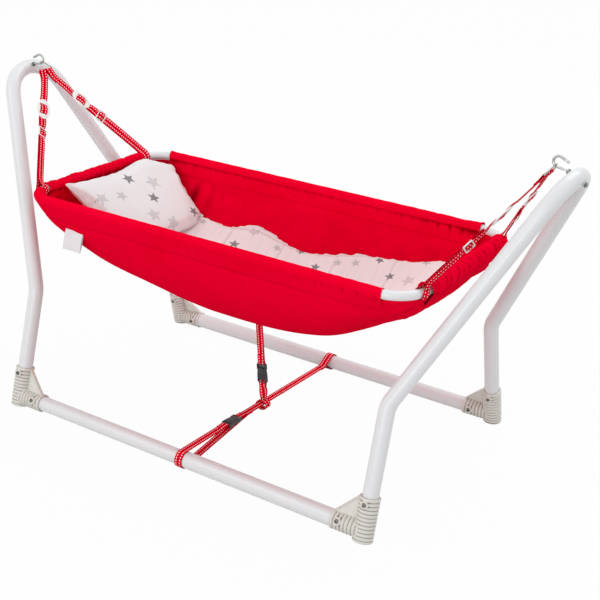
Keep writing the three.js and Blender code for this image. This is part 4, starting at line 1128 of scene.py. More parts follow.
def sling_run(corner):
    """How far along the rim a sling stands, counting corners from rear right to rear left."""
    corner_starts = [HALF_SIDE, HALF_SIDE + CORNER_RUN + 2 * HALF_END,
                     3 * HALF_SIDE + 2 * CORNER_RUN + 2 * HALF_END,
                     3 * HALF_SIDE + 3 * CORNER_RUN + 4 * HALF_END]
    share = SLING_ANGLE / (math.pi / 2)
    return corner_starts[corner] + CORNER_RUN * (1 - share if corner % 2 == 0 else share)


def make_rim():
    runs = np.linspace(0, RIM_RUN, 361)[:-1]
    points, tangents = zip(*[rim_at(run) for run in runs])
    made = closed_ring(points, tangents, [UP] * len(points), RIM_R, 40)
    piece = outward(solid("rim_hoop", *made, "enamel", "cradle"))
    shown_for(piece, "rim_tube")


# Cloth body
def plan_half(x, grow):
    past = abs(x) - (RIM_X - RIM_CORNER_R)
    bend = RIM_CORNER_R + grow
    straight = RIM_Y - RIM_CORNER_R
    return straight + (bend if past <= 0 else math.sqrt(max(bend * bend - past * past, 0)))


def smooth_at(table, at):
    """A smooth curve through a table of shares, read at one place along it."""
    last = len(table) - 2
    i = max([k for k in range(last + 1) if table[k][0] <= at], default=0)

    def slope(k):
        before, after = table[max(k - 1, 0)], table[min(k + 1, len(table) - 1)]
        return (after[1] - before[1]) / (after[0] - before[0])

    span = table[i + 1][0] - table[i][0]
    t = min(max((at - table[i][0]) / span, 0), 1)
    rise = t * t * (3 - 2 * t)
    start = t * (1 - t) ** 2 * span * slope(i)
    end = t * t * (t - 1) * span * slope(i + 1)
    return table[i][1] * (1 - rise) + table[i + 1][1] * rise + start + end


def bowl_depth(x, grow):
    return BODY_DEEP * smooth_at(DEPTH_SHARES, x / (RIM_X + grow))


def smoothstep(value, low, high):
    t = np.clip((value - low) / (high - low), 0, 1)
    return t * t * (3 - 2 * t)


def bowl_section(x, angles, grow, lifted=1.0):
    """One section of the bowl across its length, from the rear wall through the bottom to the front wall."""
    half = plan_half(x, grow)
    depth = (bowl_depth(x, grow) + grow - SHELL_HALF) * lifted
    fold = FOLD_DEEP * smoothstep(abs(x) / RIM_X, FOLD_FROM_SHARE, 1) * lifted
    cos, sin = np.cos(angles), np.maximum(np.sin(angles), 0)
    y = half * np.sign(cos) * np.abs(cos) ** (2 / SIDE_POWER)
    dip = fold * np.cos(FOLD_COUNT * angles) * sin
    z = BOWL_TOP - depth * sin ** (2 / DEPTH_POWER) - dip
    return np.stack([np.full_like(y, x), y, z], 1)


def bowl_inner_z(x, y):
    half = plan_half(x, -SHELL_HALF)
    share = min(abs(y) / half, 1)
    depth = bowl_depth(x, 0) - 2 * SHELL_HALF
    return BOWL_TOP - depth * (1 - share ** SIDE_POWER) ** (1 / DEPTH_POWER)


def rumple(x, y, z, wave, seed):
    """Smooth noise about 0, with a wave length in millimetres."""
    return noise.noise(Vector((x / wave + seed, y / wave - seed, z / wave + 2 * seed)))


def gather(run, around, seed, wave):
    """Uneven gathers: narrow valleys between round humps, bowed on their way round the rim."""
    bowed = run + 9.0 * math.sin(math.pi * float(np.clip((around - 0.9) / 2.6, 0, 1)))
    big = noise.noise(Vector((bowed / wave, 0.2 * around + seed, seed)))
    small = noise.noise(Vector((bowed / (0.5 * wave), 0.35 * around - seed, seed + 4.0)))
    return abs(big) ** 0.6 - 0.5 + 0.35 * (abs(small) ** 0.7 - 0.4)


def rear_fold(x, below):
    """How far the fold beside the pillow comes in from the rear wall, with the slack valley behind it."""
    slant = REAR_FOLD_SLANT * below
    ridge = REAR_FOLD_DEEP * math.exp(-((x - REAR_FOLD_X + slant) / REAR_FOLD_WIDE) ** 2)
    valley = REAR_FOLD_DEEP * math.exp(-((x - REAR_VALLEY_X + slant) / REAR_VALLEY_WIDE) ** 2)
    return (ridge - valley) * math.exp(-below / REAR_FOLD_FADE)


def wall_room(x, z):
    """How far from the middle the wall's inside stands, at a place along the cradle and a height."""
    share = min(max((BOWL_TOP - z) / (bowl_depth(x, 0) - 2 * SHELL_HALF), 0), 1)
    return plan_half(x, -SHELL_HALF) * (1 - share ** DEPTH_POWER) ** (1 / SIDE_POWER)


def body_wrinkle(point):
    """How far the cloth stands off its plain bowl."""
    x, y, z = point
    below = BOWL_TOP - z
    wave = SLACK_WAVE * rumple(x, y, z, SLACK_LONG, 3.1) + CREASE_WAVE * rumple(x, y, z, CREASE_LONG, 7.7)
    corner_x = abs(x) - SLING_FOOT[0]
    corner_y = abs(y) - SLING_FOOT[1]
    reach = math.sqrt(corner_x ** 2 + corner_y ** 2 + below ** 2)
    fan = math.atan2(below + 4, -corner_x + 0.6 * abs(corner_y) + 1)
    strength = CORNER_PULL * math.exp(-reach / CORNER_FADE) * min(reach / 30.0, 1)
    bend = 2.4 * rumple(x, y, z, CREASE_LONG, 1.9)
    wave += strength * math.cos(CORNER_FOLDS * fan + (1.3 if x > 0 else 0.2) + bend)
    upright = smoothstep(abs(x), 150, 400) * math.exp(-below / WALL_CREASE_FADE) * (1.0 if x > 0 else 0.5)
    wave += WALL_CREASE * upright * rumple(x * 2.4, y * 2.4, z * 0.5, CREASE_LONG, 6.4)
    end = smoothstep(abs(x), RIM_X - 90, RIM_X - 8)
    if end > 0:
        puckers = gather(y, below / 40.0, 2.0 if x > 0 else 9.0, 19.0)
        wave += END_GATHER * end * math.exp(-below / END_GATHER_FADE) * puckers
    if y > 0:
        wave -= rear_fold(x, below)
    seam_x, slant = FRONT_SEAM if y < 0 else REAR_SEAM
    seam = abs(x - (seam_x + slant * below))
    if x > 0 and seam < 8:
        proud = SEAM_PROUD * math.exp(-(seam / SEAM_WIDE) ** 2)
        wave += proud - SEAM_SUNK * math.exp(-((seam - 3.4) / SEAM_WIDE) ** 2)
    return wave


def make_body():
    """The bowl of the cradle with its two end walls, one sheet from rim to rim."""
    angles = np.linspace(0, math.pi, BODY_ROUND)
    rows = [bowl_section(-RIM_X, angles, 0, lift) for lift in np.linspace(WALL_FROM, 1, WALL_ROWS)[:-1]]
    rows += [bowl_section(RIM_X * share, angles, 0) for share in cosine_grid(BODY_LONG)]
    rows += [bowl_section(RIM_X, angles, 0, lift) for lift in np.linspace(1, WALL_FROM, WALL_ROWS)[1:]]
    grid = np.array(rows)
    along = np.gradient(grid, axis=0)
    across = np.gradient(grid, axis=1)
    normals = np.cross(along, across)
    normals /= np.maximum(np.linalg.norm(normals, axis=2, keepdims=True), 1e-9)
    if normals[len(rows) // 2, BODY_ROUND // 2, 2] > 0:
        normals = -normals
    offsets = np.array([[body_wrinkle(p) for p in row] for row in grid])
    below = BOWL_TOP - grid[:, :, 2]
    near_end = smoothstep(np.abs(grid[:, :, 0]), 400, 500)
    hem = smoothstep(below, 30, 70) * (1 - near_end) + smoothstep(below, 8, 34) * near_end
    grid = grid + normals * (offsets * hem)[:, :, None]
    points, faces = skin(grid, caps=False, round_section=False)
    piece = solid("cloth_body", points, faces, "cloth", "cradle")
    thicken(piece, CLOTH_THICK)
    mark_fold_shade(piece, rounds=14, deep=3.2)
    shown_for(piece, "fabric_body")
    return piece


def thicken(piece, thick, offset=0):
    """Gives a sheet its thickness: on both sides of its middle, or inwards only with an offset of -1."""
    outward(piece)
    layer = piece.modifiers.new("thick", "SOLIDIFY")
    layer.thickness = thick * MM
    layer.offset = offset
    applied(piece)
    piece.data.polygons.foreach_set("use_smooth", [True] * len(piece.data.polygons))


def seam_place(centre, heading, drop):
    """Where the hem's seam lies on the body below a place of the rim, and the inward direction there."""
    inward = np.cross(heading, UP)
    x, y = centre[:2]
    depth = bowl_depth(np.clip(x, -RIM_X, RIM_X), 0)
    below = drop - (RIM_Z - BOWL_TOP)
    share = min((max(below, 0) / max(depth, below + 1)) ** DEPTH_POWER, 1)
    drawn_in = abs(y) * (1 - (1 - share) ** (1 / SIDE_POWER)) * heading[0] ** 2
    return centre - UP * drop + inward * drawn_in, inward


def make_sleeve(name, run_from, run_to, radius, puckers, wave, flare, smooth_inside, drop, seed):
    """A hem of cloth folded over the rim; both its layers run down to one seam on the body."""
    length = (run_to - run_from) % RIM_RUN
    count = int(length / SLEEVE_STEP)
    over = np.radians(np.linspace(-22, 202, 40))
    rings, seams = [], []
    for i in range(count + 1):
        run = run_from + length * i / count
        centre, heading = rim_at(run)
        seam, inward = seam_place(centre, heading, drop)
        from_end = min(length * i / count, length * (1 - i / count))
        deep = (puckers + MOUTH_PUCKER * math.exp(-from_end / MOUTH_PUCKER_REACH)
                + RIGHT_PUCKER * abs(heading[0]) * float(smoothstep(centre[0], 120, 430)))
        ring = []
        for angle in over:
            even = 1 - smooth_inside * (1 - float(smoothstep(angle, 0.9, 1.9)))
            reach = radius + deep * even * gather(run, angle, seed, wave)
            reach += 0.4 * noise.noise(Vector((run / 30.0, angle, seed)))
            reach += flare * math.exp(-from_end / FLARE_REACH)
            reach = max(reach, RIM_R + 1.4)
            ring.append(centre + reach * (math.cos(angle) * inward + math.sin(angle) * UP))
        sides = []
        for way in (-1, 1):
            start = ring[-1] if way < 0 else ring[0]
            end = seam + inward * way * (0.15 + 0.12 * deep)
            row = []
            wide = (start - end) @ inward
            for t in SLEEVE_ROWS:
                around = (math.pi if way < 0 else 0.0) - way * 1.2 * t
                swell = 0.8 * deep * gather(run, around, seed, wave) * (1 - 0.6 * t)
                flush = wide * ((1 - t) ** 0.85 - (1 - t))
                row.append(start + (end - start) * t + inward * (flush + way * swell))
            sides.append(row)
        ring = ring + sides[0] + sides[1][::-1]
        seams.append(sides[0][4] - inward * STITCH_END_R)
        rings.append(ring)
    piece = solid(name, *skin(rings, caps=False), "cloth", "cradle")
    thicken(piece, SLEEVE_THICK, -1)
    mark_fold_shade(piece, rounds=10, deep=0.9)
    if drop == END_DROP:
        sew(f"{name}_stitches", seams)
    return piece, length


def sew(name, places):
    """A row of red stitches along places that lie one step of a sleeve apart."""
    points = np.array(places)
    at = np.concatenate([[0], np.cumsum(np.linalg.norm(np.diff(points, axis=0), axis=1))])
    parts = []
    for start in np.arange(2.0, at[-1] - STITCH_LONG, STITCH_PITCH):
        span = np.linspace(start, start + STITCH_LONG, 4)
        path = np.stack([np.interp(span, at, points[:, i]) for i in range(3)], 1)
        tangents = np.gradient(path, axis=0)
        parts.append(round_tube(path, tangents, [STITCH_END_R, STITCH_R, STITCH_R, STITCH_END_R], 6))
    piece = outward(solid(name, *merged(*parts), "red_thread", "cradle"))
    shown_for(piece, "fabric_body")


def make_sleeves():
    spots = [sling_run(corner) for corner in range(4)]
    spans = {
        "right_end_sleeve": (spots[0] + SLING_BARE, spots[1] - SLING_BARE),
        "front_sleeve": (spots[1] + FRONT_RIGHT_BARE, spots[2] - SLING_BARE),
        "left_end_sleeve": (spots[2] + SLING_BARE, spots[3] - SLING_BARE),
        "rear_sleeve": (spots[3] + REAR_LEFT_BARE, spots[0] + RIM_RUN - REAR_RIGHT_BARE),
    }
    for name, span in spans.items():
        form = SLEEVES[name]
        piece, length = make_sleeve(name, *span, **form)
        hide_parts("fabric_body")
        around = math.pi * form["radius"] + 2 * form["drop"]
        flat = (round(length * MM, 3), round(around * MM, 3))


# Webbing
def band(stations, name, node, body, closed=False):
    """A strap of webbing along (point, across) stations; its map holds shares and metres."""
    points = np.array([s[0] for s in stations], float)
    across = np.array([unit(s[1]) for s in stations])
    if closed:
        steps = np.roll(points, -1, 0) - np.roll(points, 1, 0)
    else:
        steps = np.gradient(points, axis=0)
    out = np.cross(steps, across)
    out /= np.linalg.norm(out, axis=1, keepdims=True)
    half, deep = WEB_WIDE / 2, WEB_THICK / 2
    edge = min(0.55, deep)
    near, far = half - edge * 1.6, half - edge * 0.35
    section = [(-half, 0), (-far, deep * 0.75), (-near, deep), (-half * 0.5, deep), (0, deep),
               (half * 0.5, deep), (near, deep), (far, deep * 0.75), (half, 0), (far, -deep * 0.75),
               (near, -deep), (half * 0.5, -deep), (0, -deep), (-half * 0.5, -deep), (-near, -deep),
               (-far, -deep * 0.75)]
    section = np.array(section)
    rings = points[:, None] + section[None, :, :1] * across[:, None] + section[None, :, 1:] * out[:, None]
    lengths = np.concatenate([[0], np.cumsum(np.linalg.norm(np.diff(points, axis=0), axis=1))]) * MM
    shares = section[:, 0] / WEB_WIDE + 0.5
    uv = [(share, length) for length in lengths for share in shares]
    piece = outward(solid(name, *skin(rings, loop=closed), "web", body, uv=uv))
    shown_for(piece, node)


def rounded_route(stations):
    """Stations with their corners rounded; a bend starts at most ROUTE_SOFT before its corner."""
    points = np.array([s[0] for s in stations], float)
    across = np.array([unit(s[1]) for s in stations])
    for i in range(1, len(across)):
        if across[i] @ across[i - 1] < 0:
            across[i] = -across[i]
    gaps = np.linalg.norm(np.diff(points, axis=0), axis=1)
    keep = np.concatenate([[True], gaps > 0.05])
    points, across, gaps = points[keep], across[keep], gaps[gaps > 0.05]
    route = [(points[0], across[0])]
    for k in range(1, len(points) - 1):
        before, after = points[k - 1] - points[k], points[k + 1] - points[k]
        lead_in, lead_out = min(ROUTE_SOFT, gaps[k - 1] / 2), min(ROUTE_SOFT, gaps[k] / 2)
        start, end = points[k] + unit(before) * lead_in, points[k] + unit(after) * lead_out
        turn = math.acos(np.clip(-unit(before) @ unit(after), -1, 1))
        steps = 1 if turn < 0.03 else 2 if turn < 0.3 else 5
        for i in range(steps + 1):
            t = i / steps
            share_in = (1 - t) ** 2 * lead_in / gaps[k - 1]
            share_out = t * t * lead_out / gaps[k]
            here = start * (1 - t) ** 2 + points[k] * 2 * t * (1 - t) + end * t * t
            way = across[k] * (1 - share_in - share_out)
            way = way + across[k - 1] * share_in + across[k + 1] * share_out
            if np.linalg.norm(here - route[-1][0]) > 0.05:
                route.append((here, unit(way)))
    route.append((points[-1], across[-1]))
    return route


def square_to(v, tangent):
    return unit(v - tangent * (v @ tangent))


def turned(v, axis, angle):
    cos, sin = math.cos(angle), math.sin(angle)
    return v * cos + np.cross(axis, v) * sin + axis * (axis @ v) * (1 - cos)


def half_turn(point, out, tangent, across, reach):
    """Stations half round a bar, from one side of it by way of the far end of the tangent."""
    turns = [math.pi * k / LOOP_STEPS for k in range(LOOP_STEPS + 1)]
    return [(point - out * reach * math.cos(turn) - tangent * reach * math.sin(turn), across)
            for turn in turns]


def bezier(points, share):
    a, b, c, d = points
    s = 1 - share
    at = a * s ** 3 + 3 * b * s * s * share + 3 * c * s * share ** 2 + d * share ** 3
    heading = 3 * (b - a) * s * s + 6 * (c - b) * s * share + 3 * (d - c) * share ** 2
    return at, unit(heading)


class SlingLine:
    """The middle line of a sling from the ring's bar to the rim, its width turning on the way."""

    def __init__(self, side, sx, sy):
        start = np.array([sx * BAR_CENTRE[0], sy * (WEB_WIDE + LOOSE_GAP) / 2, BAR_CENTRE[2]])
        end = SLING_FOOT * np.array([sx, sy, 1])
        ring_pull = mirrored(PULL, sx)
        self.rim_run = np.array([sx * math.sin(SLING_ANGLE), -sy * math.cos(SLING_ANGLE), 0.0])
        rise = square_to(start - end, self.rim_run)
        upper = start + ring_pull * SLING_LEAD
        lower = end + rise * SLING_LEAD
        self.straight = unit(lower - upper)
        self.bend_top = upper + self.straight * SLING_BEND
        bend_foot = lower - self.straight * SLING_BEND
        self.first = (start, upper, self.bend_top - self.straight * SLING_LEAD, self.bend_top)
        self.last = (bend_foot, bend_foot + self.straight * SLING_LEAD, lower, end)
        self.lengths = [self.measure(self.first), float(np.linalg.norm(bend_foot - self.bend_top)),
                        self.measure(self.last)]
        self.total = sum(self.lengths)
        self.across_top = square_to(BACK, self.straight)
        across_foot = square_to(self.rim_run, self.straight)
        if across_foot @ self.across_top < 0:
            self.rim_run = -self.rim_run
            across_foot = -across_foot
        self.turn = math.atan2(np.cross(self.across_top, across_foot) @ self.straight,
                               self.across_top @ across_foot)
        self.oval = OVAL_SHARES[side] * self.total
        self.slider = SLIDER_SHARES[side] * self.total
        self.turn_from = self.oval + OVAL_LONG / 2
        self.turn_to = self.slider - SLIDER_LONG / 2 - THREAD_LEAD
        face = np.cross(*self.frame_at(self.oval)[1:])
        self.face = 1 if face @ SHOWN_FACE > 0 else -1

    @staticmethod
    def measure(curve):
        dots = np.array([bezier(curve, t)[0] for t in np.linspace(0, 1, 60)])
        return float(np.linalg.norm(np.diff(dots, axis=0), axis=1).sum())

    def frame_at(self, s):
        """Point, tangent and direction of the width."""
        if s < self.lengths[0]:
            point, tangent = bezier(self.first, s / self.lengths[0])
            return point, tangent, square_to(BACK, tangent)
        past = s - self.lengths[0] - self.lengths[1]
        if past > 0:
            point, tangent = bezier(self.last, min(past / self.lengths[2], 1))
            return point, tangent, square_to(self.rim_run, tangent)
        share = np.clip((s - self.turn_from) / (self.turn_to - self.turn_from), 0, 1)
        across = turned(self.across_top, self.straight, self.turn * share)
        return self.bend_top + self.straight * (s - self.lengths[0]), self.straight, across

    def placed(self, s, offset):
        point, tangent, across = self.frame_at(s)
        out = np.cross(tangent, across) * self.face
        return point + out * offset, across

    def plate_axes(self, s):
        point, tangent, across = self.frame_at(s)
        return point, across, tangent


THREAD_OFFSET = PLATE_THICK / 2 + GAP + WEB_THICK / 2


def threading(at, bar, slot, length):
    """Offsets of webbing that passes behind a plate's ends and over its middle bar."""
    inner = bar / 2 + THREAD_MARGIN
    outer = bar / 2 + slot - THREAD_MARGIN
    end = length / 2
    return [(at - end - THREAD_LEAD - slot, 0), (at - end - THREAD_MARGIN, -THREAD_OFFSET),
            (at - outer, -THREAD_OFFSET), (at - inner, THREAD_OFFSET), (at + inner, THREAD_OFFSET),
            (at + outer, -THREAD_OFFSET), (at + end + THREAD_MARGIN, -THREAD_OFFSET),
            (at + end + THREAD_LEAD + slot, 0)]


def make_sling(side, depth_side, sx, sy):
    line = SlingLine(side, sx, sy)
    bar_loop = RING_WIRE_R + GAP + WEB_THICK / 2
    rim_loop = RIM_R + SLING_CURVE_GAP + WEB_THICK / 2 - 0.9
    behind = -(THREAD_OFFSET + WEB_THICK + GAP)
    point, tangent, across = line.frame_at(0)
    out = np.cross(tangent, across) * line.face
    stations = [line.placed(SLING_TOP_LAP, -WEB_THICK - GAP), line.placed(BAR_MERGE, -WEB_THICK - GAP)]
    stations += half_turn(point, out, tangent, across, bar_loop)
    main = [(BAR_MERGE, 0), (line.lengths[0] * 0.5, 0.5)]
    main += threading(line.oval, OVAL_BAR, OVAL_SLOT, OVAL_LONG)
    main += [(line.turn_from + (line.turn_to - line.turn_from) * share, 0) for share in (0.25, 0.5, 0.75)]
    main += threading(line.slider, SLIDER_BAR, SLIDER_SLOT, SLIDER_LONG)
    far, merge, near, close = (line.total - RIM_MERGE * share for share in (1.5, 1, 0.66, 0.33))
    main += [(far, 0), (merge, 0), (near, rim_loop * 0.3), (close, rim_loop * 0.8)]
    stations += [line.placed(s, offset) for s, offset in sorted(main)]
    point, tangent, across = line.frame_at(line.total)
    out = np.cross(tangent, across) * line.face
    stations += half_turn(point, -out, -tangent, across, rim_loop)
    back = [(close, -rim_loop * 0.8), (near, behind * 1.2), (merge, behind), (far, behind),
            (line.slider + SLIDER_LONG / 2, behind), (line.turn_to, behind),
            (line.slider - SLING_TAIL, behind)]
    stations += [line.placed(s, offset) for s, offset in back]
    name = f"{side}_{depth_side}"
    band(rounded_route(stations), f"{name}_sling_webbing", f"{name}_sling", "cradle")
    make_plate(name, "oval_plate", *line.plate_axes(line.oval), ellipse(OVAL_WIDE, OVAL_LONG),
               OVAL_BAR, OVAL_SLOT)
    make_plate(name, "slider", *line.plate_axes(line.slider), soft_box(SLIDER_WIDE, SLIDER_LONG, 3.0),
               SLIDER_BAR, SLIDER_SLOT)


def ellipse(wide, long):
    return [(wide / 2 * math.cos(a), long / 2 * math.sin(a)) for a in np.arange(72) * FULL_TURN / 72]


def soft_box(wide, long, radius, centre=(0.0, 0.0)):
    """Outline of a box with round corners."""
    outline = []
    for cx, cy, start in ((1, 1, 0), (-1, 1, 90), (-1, -1, 180), (1, -1, 270)):
        for step in range(7):
            angle = math.radians(start + 15 * step)
            outline.append((centre[0] + cx * (wide / 2 - radius) + radius * math.cos(angle),
                            centre[1] + cy * (long / 2 - radius) + radius * math.sin(angle)))
    return outline


def cut_sheet(name, outline, holes, thick, bevel):
    """A flat plate with holes and rounded edges, as points and faces about z = 0."""
    curve = bpy.data.curves.new(name, "CURVE")
    curve.dimensions = "2D"
    curve.fill_mode = "BOTH"
    curve.extrude = thick / 2 - bevel
    curve.bevel_depth = bevel
    curve.bevel_resolution = 2
    curve.offset = -bevel
    for ring in [outline, *holes]:
        spline = curve.splines.new("POLY")
        spline.points.add(len(ring) - 1)
        spline.points.foreach_set("co", np.array([(x, y, 0, 1) for x, y in ring]).ravel())
        spline.use_cyclic_u = True
    maker = bpy.data.objects.new(name, curve)
    bpy.context.scene.collection.objects.link(maker)
    depsgraph = bpy.context.evaluated_depsgraph_get()
    mesh = bpy.data.meshes.new_from_object(maker.evaluated_get(depsgraph))
    points = np.array([v.co[:] for v in mesh.vertices])
    faces = [tuple(p.vertices) for p in mesh.polygons]
    bpy.data.objects.remove(maker)
    bpy.data.meshes.remove(mesh)
    return points, faces


def make_plate(name, kind, point, across, tangent, outline, bar, slot):
    wide = WEB_WIDE + 2 * SLOT_MARGIN
    holes = [soft_box(wide, slot, 1.2, (0.0, way * (bar + slot) / 2)) for way in (-1, 1)]
    local, faces = cut_sheet(f"{name}_{kind}_form", outline, holes, PLATE_THICK, 0.6)
    axes = np.array([across, tangent, np.cross(across, tangent)])
    piece = solid(f"{name}_{kind}_piece", point + local @ axes, faces, "milky", "cradle")
    weld(piece)
    shown_for(piece, f"{name}_{kind}")


def weld(piece):
    """Merges points that lie together and turns the faces outwards."""
    work = bmesh.new()
    work.from_mesh(piece.data)
    bmesh.ops.remove_doubles(work, verts=work.verts, dist=0.02 * MM)
    bmesh.ops.recalc_face_normals(work, faces=work.faces)
    work.to_mesh(piece.data)
    work.free()
    piece.data.set_sharp_from_angle(angle=math.radians(50))


# Bedding
def quilt_form(name, top_at, bottom_at, across_count, along_count, finish):
    """A closed pad between a top and a bottom sheet, each a function of two shares from -1 to 1."""
    us, vs = cosine_grid(along_count), cosine_grid(across_count)
    top = np.array([[top_at(u, v) for v in vs] for u in us]).reshape(-1, 3)
    bottom = np.array([[bottom_at(u, v) for v in vs] for u in us]).reshape(-1, 3)
    faces = []
    under = along_count * across_count
    for i in range(along_count - 1):
        for k in range(across_count - 1):
            a, b = i * across_count + k, (i + 1) * across_count + k
            faces.append((a, a + 1, b + 1, b))
            faces.append((under + a, under + b, under + b + 1, under + a + 1))
    rim = list(range(across_count))
    rim += [i * across_count + across_count - 1 for i in range(1, along_count)]
    rim += [(along_count - 1) * across_count + k for k in range(across_count - 2, -1, -1)]
    rim += [i * across_count for i in range(along_count - 2, 0, -1)]
    for a, b in zip(rim, rim[1:] + rim[:1]):
        faces.append((a, under + a, under + b, b))
    return outward(solid(name, np.concatenate([top, bottom]), faces, finish, "cradle"))


def filled(piece, cap):
    """Swells a pad's cover with air for some frames; no point moves further than the cap, in metres."""
    remesh = piece.modifiers.new("even", "REMESH")
    remesh.mode = "VOXEL"
    remesh.voxel_size = PAD_VOXEL * MM
    eased = piece.modifiers.new("eased", "SMOOTH")
    eased.factor = 0.5
    eased.iterations = 8
    applied(piece)
    start = places_of(piece.data)
    cover = piece.modifiers.new("cover", "CLOTH")
    cover.settings.use_pressure = True
    cover.settings.uniform_pressure_force = PAD_PRESSURE
    cover.settings.effector_weights.gravity = 0.0
    cover.settings.quality = 5
    cover.collision_settings.use_collision = False
    scene = bpy.context.scene
    for moment in range(1, PAD_FRAMES + 1):
        scene.frame_set(moment)
    swollen = places_of(piece.evaluated_get(bpy.context.evaluated_depsgraph_get()).data)
    piece.modifiers.remove(cover)
    scene.frame_set(1)
    way = swollen - start
    far = np.linalg.norm(way, axis=1, keepdims=True)
    way *= np.minimum(1, cap / np.maximum(far, 1e-9))
    piece.data.vertices.foreach_set("co", (start + way).ravel())
    finer = piece.modifiers.new("finer", "SUBSURF")
    finer.levels = 1
    applied(piece)


def shaped(piece, moved):
    """Moves each point of a pad by a function of its place and its normal, in millimetres."""
    mesh = piece.data
    normals = [vertex.normal.copy() for vertex in mesh.vertices]
    places = places_of(mesh) / MM
    made = np.array([moved(place, np.array(normal)) for place, normal in zip(places, normals)])
    mesh.vertices.foreach_set("co", (made * MM).ravel())
    mesh.polygons.foreach_set("use_smooth", [True] * len(mesh.polygons))
    mesh.update()


def mattress_half(x, u, rear=False):
    wave = MATTRESS_WAVE * (1 - math.cos(math.pi * min(abs(x) / MATTRESS_WAVE_X, 1))) / 2
    drawn = MATTRESS_REAR_IN * float(smoothstep(-x, 150, 250)) if rear else 0.0
    return (MATTRESS_HALF + wave - drawn) * (1 - MATTRESS_TAPER * u ** 8)


def mattress_crown(x, y):
    """How thick the mattress is at a place, and its half width there."""
    u = (x - MATTRESS_MIDDLE) / MATTRESS_REACH
    half = mattress_half(x, u, y > 0)
    share = min(abs(y) / half, 1)
    return math.sqrt(max(1 - u ** 6, 0) * (1 - share ** 6)), half


def make_mattress():
    def at(u, v, top):
        x = MATTRESS_MIDDLE + MATTRESS_REACH * u
        y = mattress_half(x, u, v > 0) * v
        low = bowl_inner_z(x, y) + MATTRESS_OFF_CLOTH
        crown = math.sqrt(max(1 - u ** 6, 0) * (1 - v ** 6))
        thick = MATTRESS_EDGE - 0.8 + (MATTRESS_THICK - MATTRESS_EDGE - 3.0) * crown
        return x, y, low + (thick if top else 0)

    def detailed(place, normal):
        x, y, z = place
        crown, half = mattress_crown(x, y)
        y = math.copysign(min(abs(y) * 1.01, half + 0.5), y)
        z = min(z, bowl_inner_z(x, y) + MATTRESS_EDGE + 2.0 + (MATTRESS_THICK - MATTRESS_EDGE) * crown)
        if normal[2] > 0.25 and abs((x - MATTRESS_MIDDLE) / MATTRESS_REACH) < 1:
            edge = 1 - min(abs(y) / half, 1)
            lift = 1.2 * rumple(x, y, 0.0, 52.0, 5.0) + 0.9 * rumple(x * 2.2, y * 0.5, 0.0, 30.0, 2.0)
            lift += 0.4 * math.exp(-(edge / 0.07) ** 2) * math.sin(x / 4.1 + 3 * rumple(x, y, 0, 40, 8.0))
            for seam in MATTRESS_SEAMS:
                off = (x - seam - 3.0 * rumple(y, seam, 0.0, 70.0, 3.0)) / MATTRESS_SEAM_WIDE
                lift -= MATTRESS_SEAM_DEEP * math.exp(-off * off)
                lift += 1.0 * math.exp(-(off / 3) ** 2) * math.sin(y / 5.0 + seam)
            z += lift * crown
        return x, y, max(z, bowl_inner_z(x, y) + MATTRESS_LEAST_OFF)

    piece = quilt_form("mattress_pad", lambda u, v: at(u, v, True), lambda u, v: at(u, v, False),
                       121, 241, "mattress")
    filled(piece, MATTRESS_SWELL)
    shaped(piece, detailed)
    mark_fold_shade(piece, rounds=8, deep=1.2)
    shown_for(piece, "mattress")
    return piece


def pillow_point(u, v, side, grow=0.0):
    """A place on the pillow: u across the cradle, v down its length, side 1 for its upper face."""
    drawn = 1 - PILLOW_DRAWN * (1 - v * v) * u * u
    drawn_side = 1 - PILLOW_DRAWN * (1 - u * u) * v * v
    fill = math.sqrt(max((1 - u ** 4) * (1 - v ** 4), 0))
    half = (PILLOW_EDGE + (PILLOW_THICK - PILLOW_EDGE) * fill) / 2 + grow
    tucked = float(smoothstep(u, 0.55, 1) * smoothstep(-v, -0.7, 1))
    return (PILLOW_MIDDLE + BACK * u * drawn * PILLOW_WIDE / 2
            + PILLOW_DOWN * v * drawn_side * PILLOW_LONG / 2 + PILLOW_OUT * side * half
            + tucked * PILLOW_TUCK)


def keep_off(point, margin):
    """Moves a pillow's point off the cloth, the mattress and the sleeve round the rim."""
    x, y, z = point
    for _ in range(3):
        x = max(x, margin + 2 - RIM_X)
        over = abs(y) - wall_room(x, z) + margin
        if 0 < over < bowl_inner_z(x, y) + margin - z:
            y -= math.copysign(over, y)
        floor_z = bowl_inner_z(x, y) + margin
        if MATTRESS_FROM_X < x < MATTRESS_TO_X:
            crown, half = mattress_crown(x, y)
            if abs(y) < half:
                floor_z += MATTRESS_EDGE + (MATTRESS_THICK - MATTRESS_EDGE) * crown
        z = max(z, floor_z)
        if y > 0:
            y = min(y, wall_room(x, z) - max(rear_fold(x, BOWL_TOP - z), 0) - 1.0)
        from_rim = np.array([x + RIM_X, z - RIM_Z])
        far = np.linalg.norm(from_rim)
        if far < SLEEVE_ROOM:
            from_rim = from_rim / max(far, 1e-6) * SLEEVE_ROOM
            x, z = from_rim[0] - RIM_X, from_rim[1] + RIM_Z
    return np.array([x, y, z])


def pillow_ears(place):
    """Draws a place near an upper corner out to its point, and lifts the upper edge by the rear wall."""
    u = 2 * (place - PILLOW_MIDDLE) @ BACK / PILLOW_WIDE
    v = 2 * (place - PILLOW_MIDDLE) @ PILLOW_DOWN / PILLOW_LONG
    drawn = PILLOW_EAR * float(smoothstep(min(abs(u), -v), 0.7, 1.0))
    lift = PILLOW_LIFT * math.exp(-((u - 0.55) / 0.35) ** 2) * float(smoothstep(-v, 0.3, 1))
    return place + (BACK * math.copysign(1, u) + PILLOW_DOWN * math.copysign(1, v)) * drawn + UP * lift


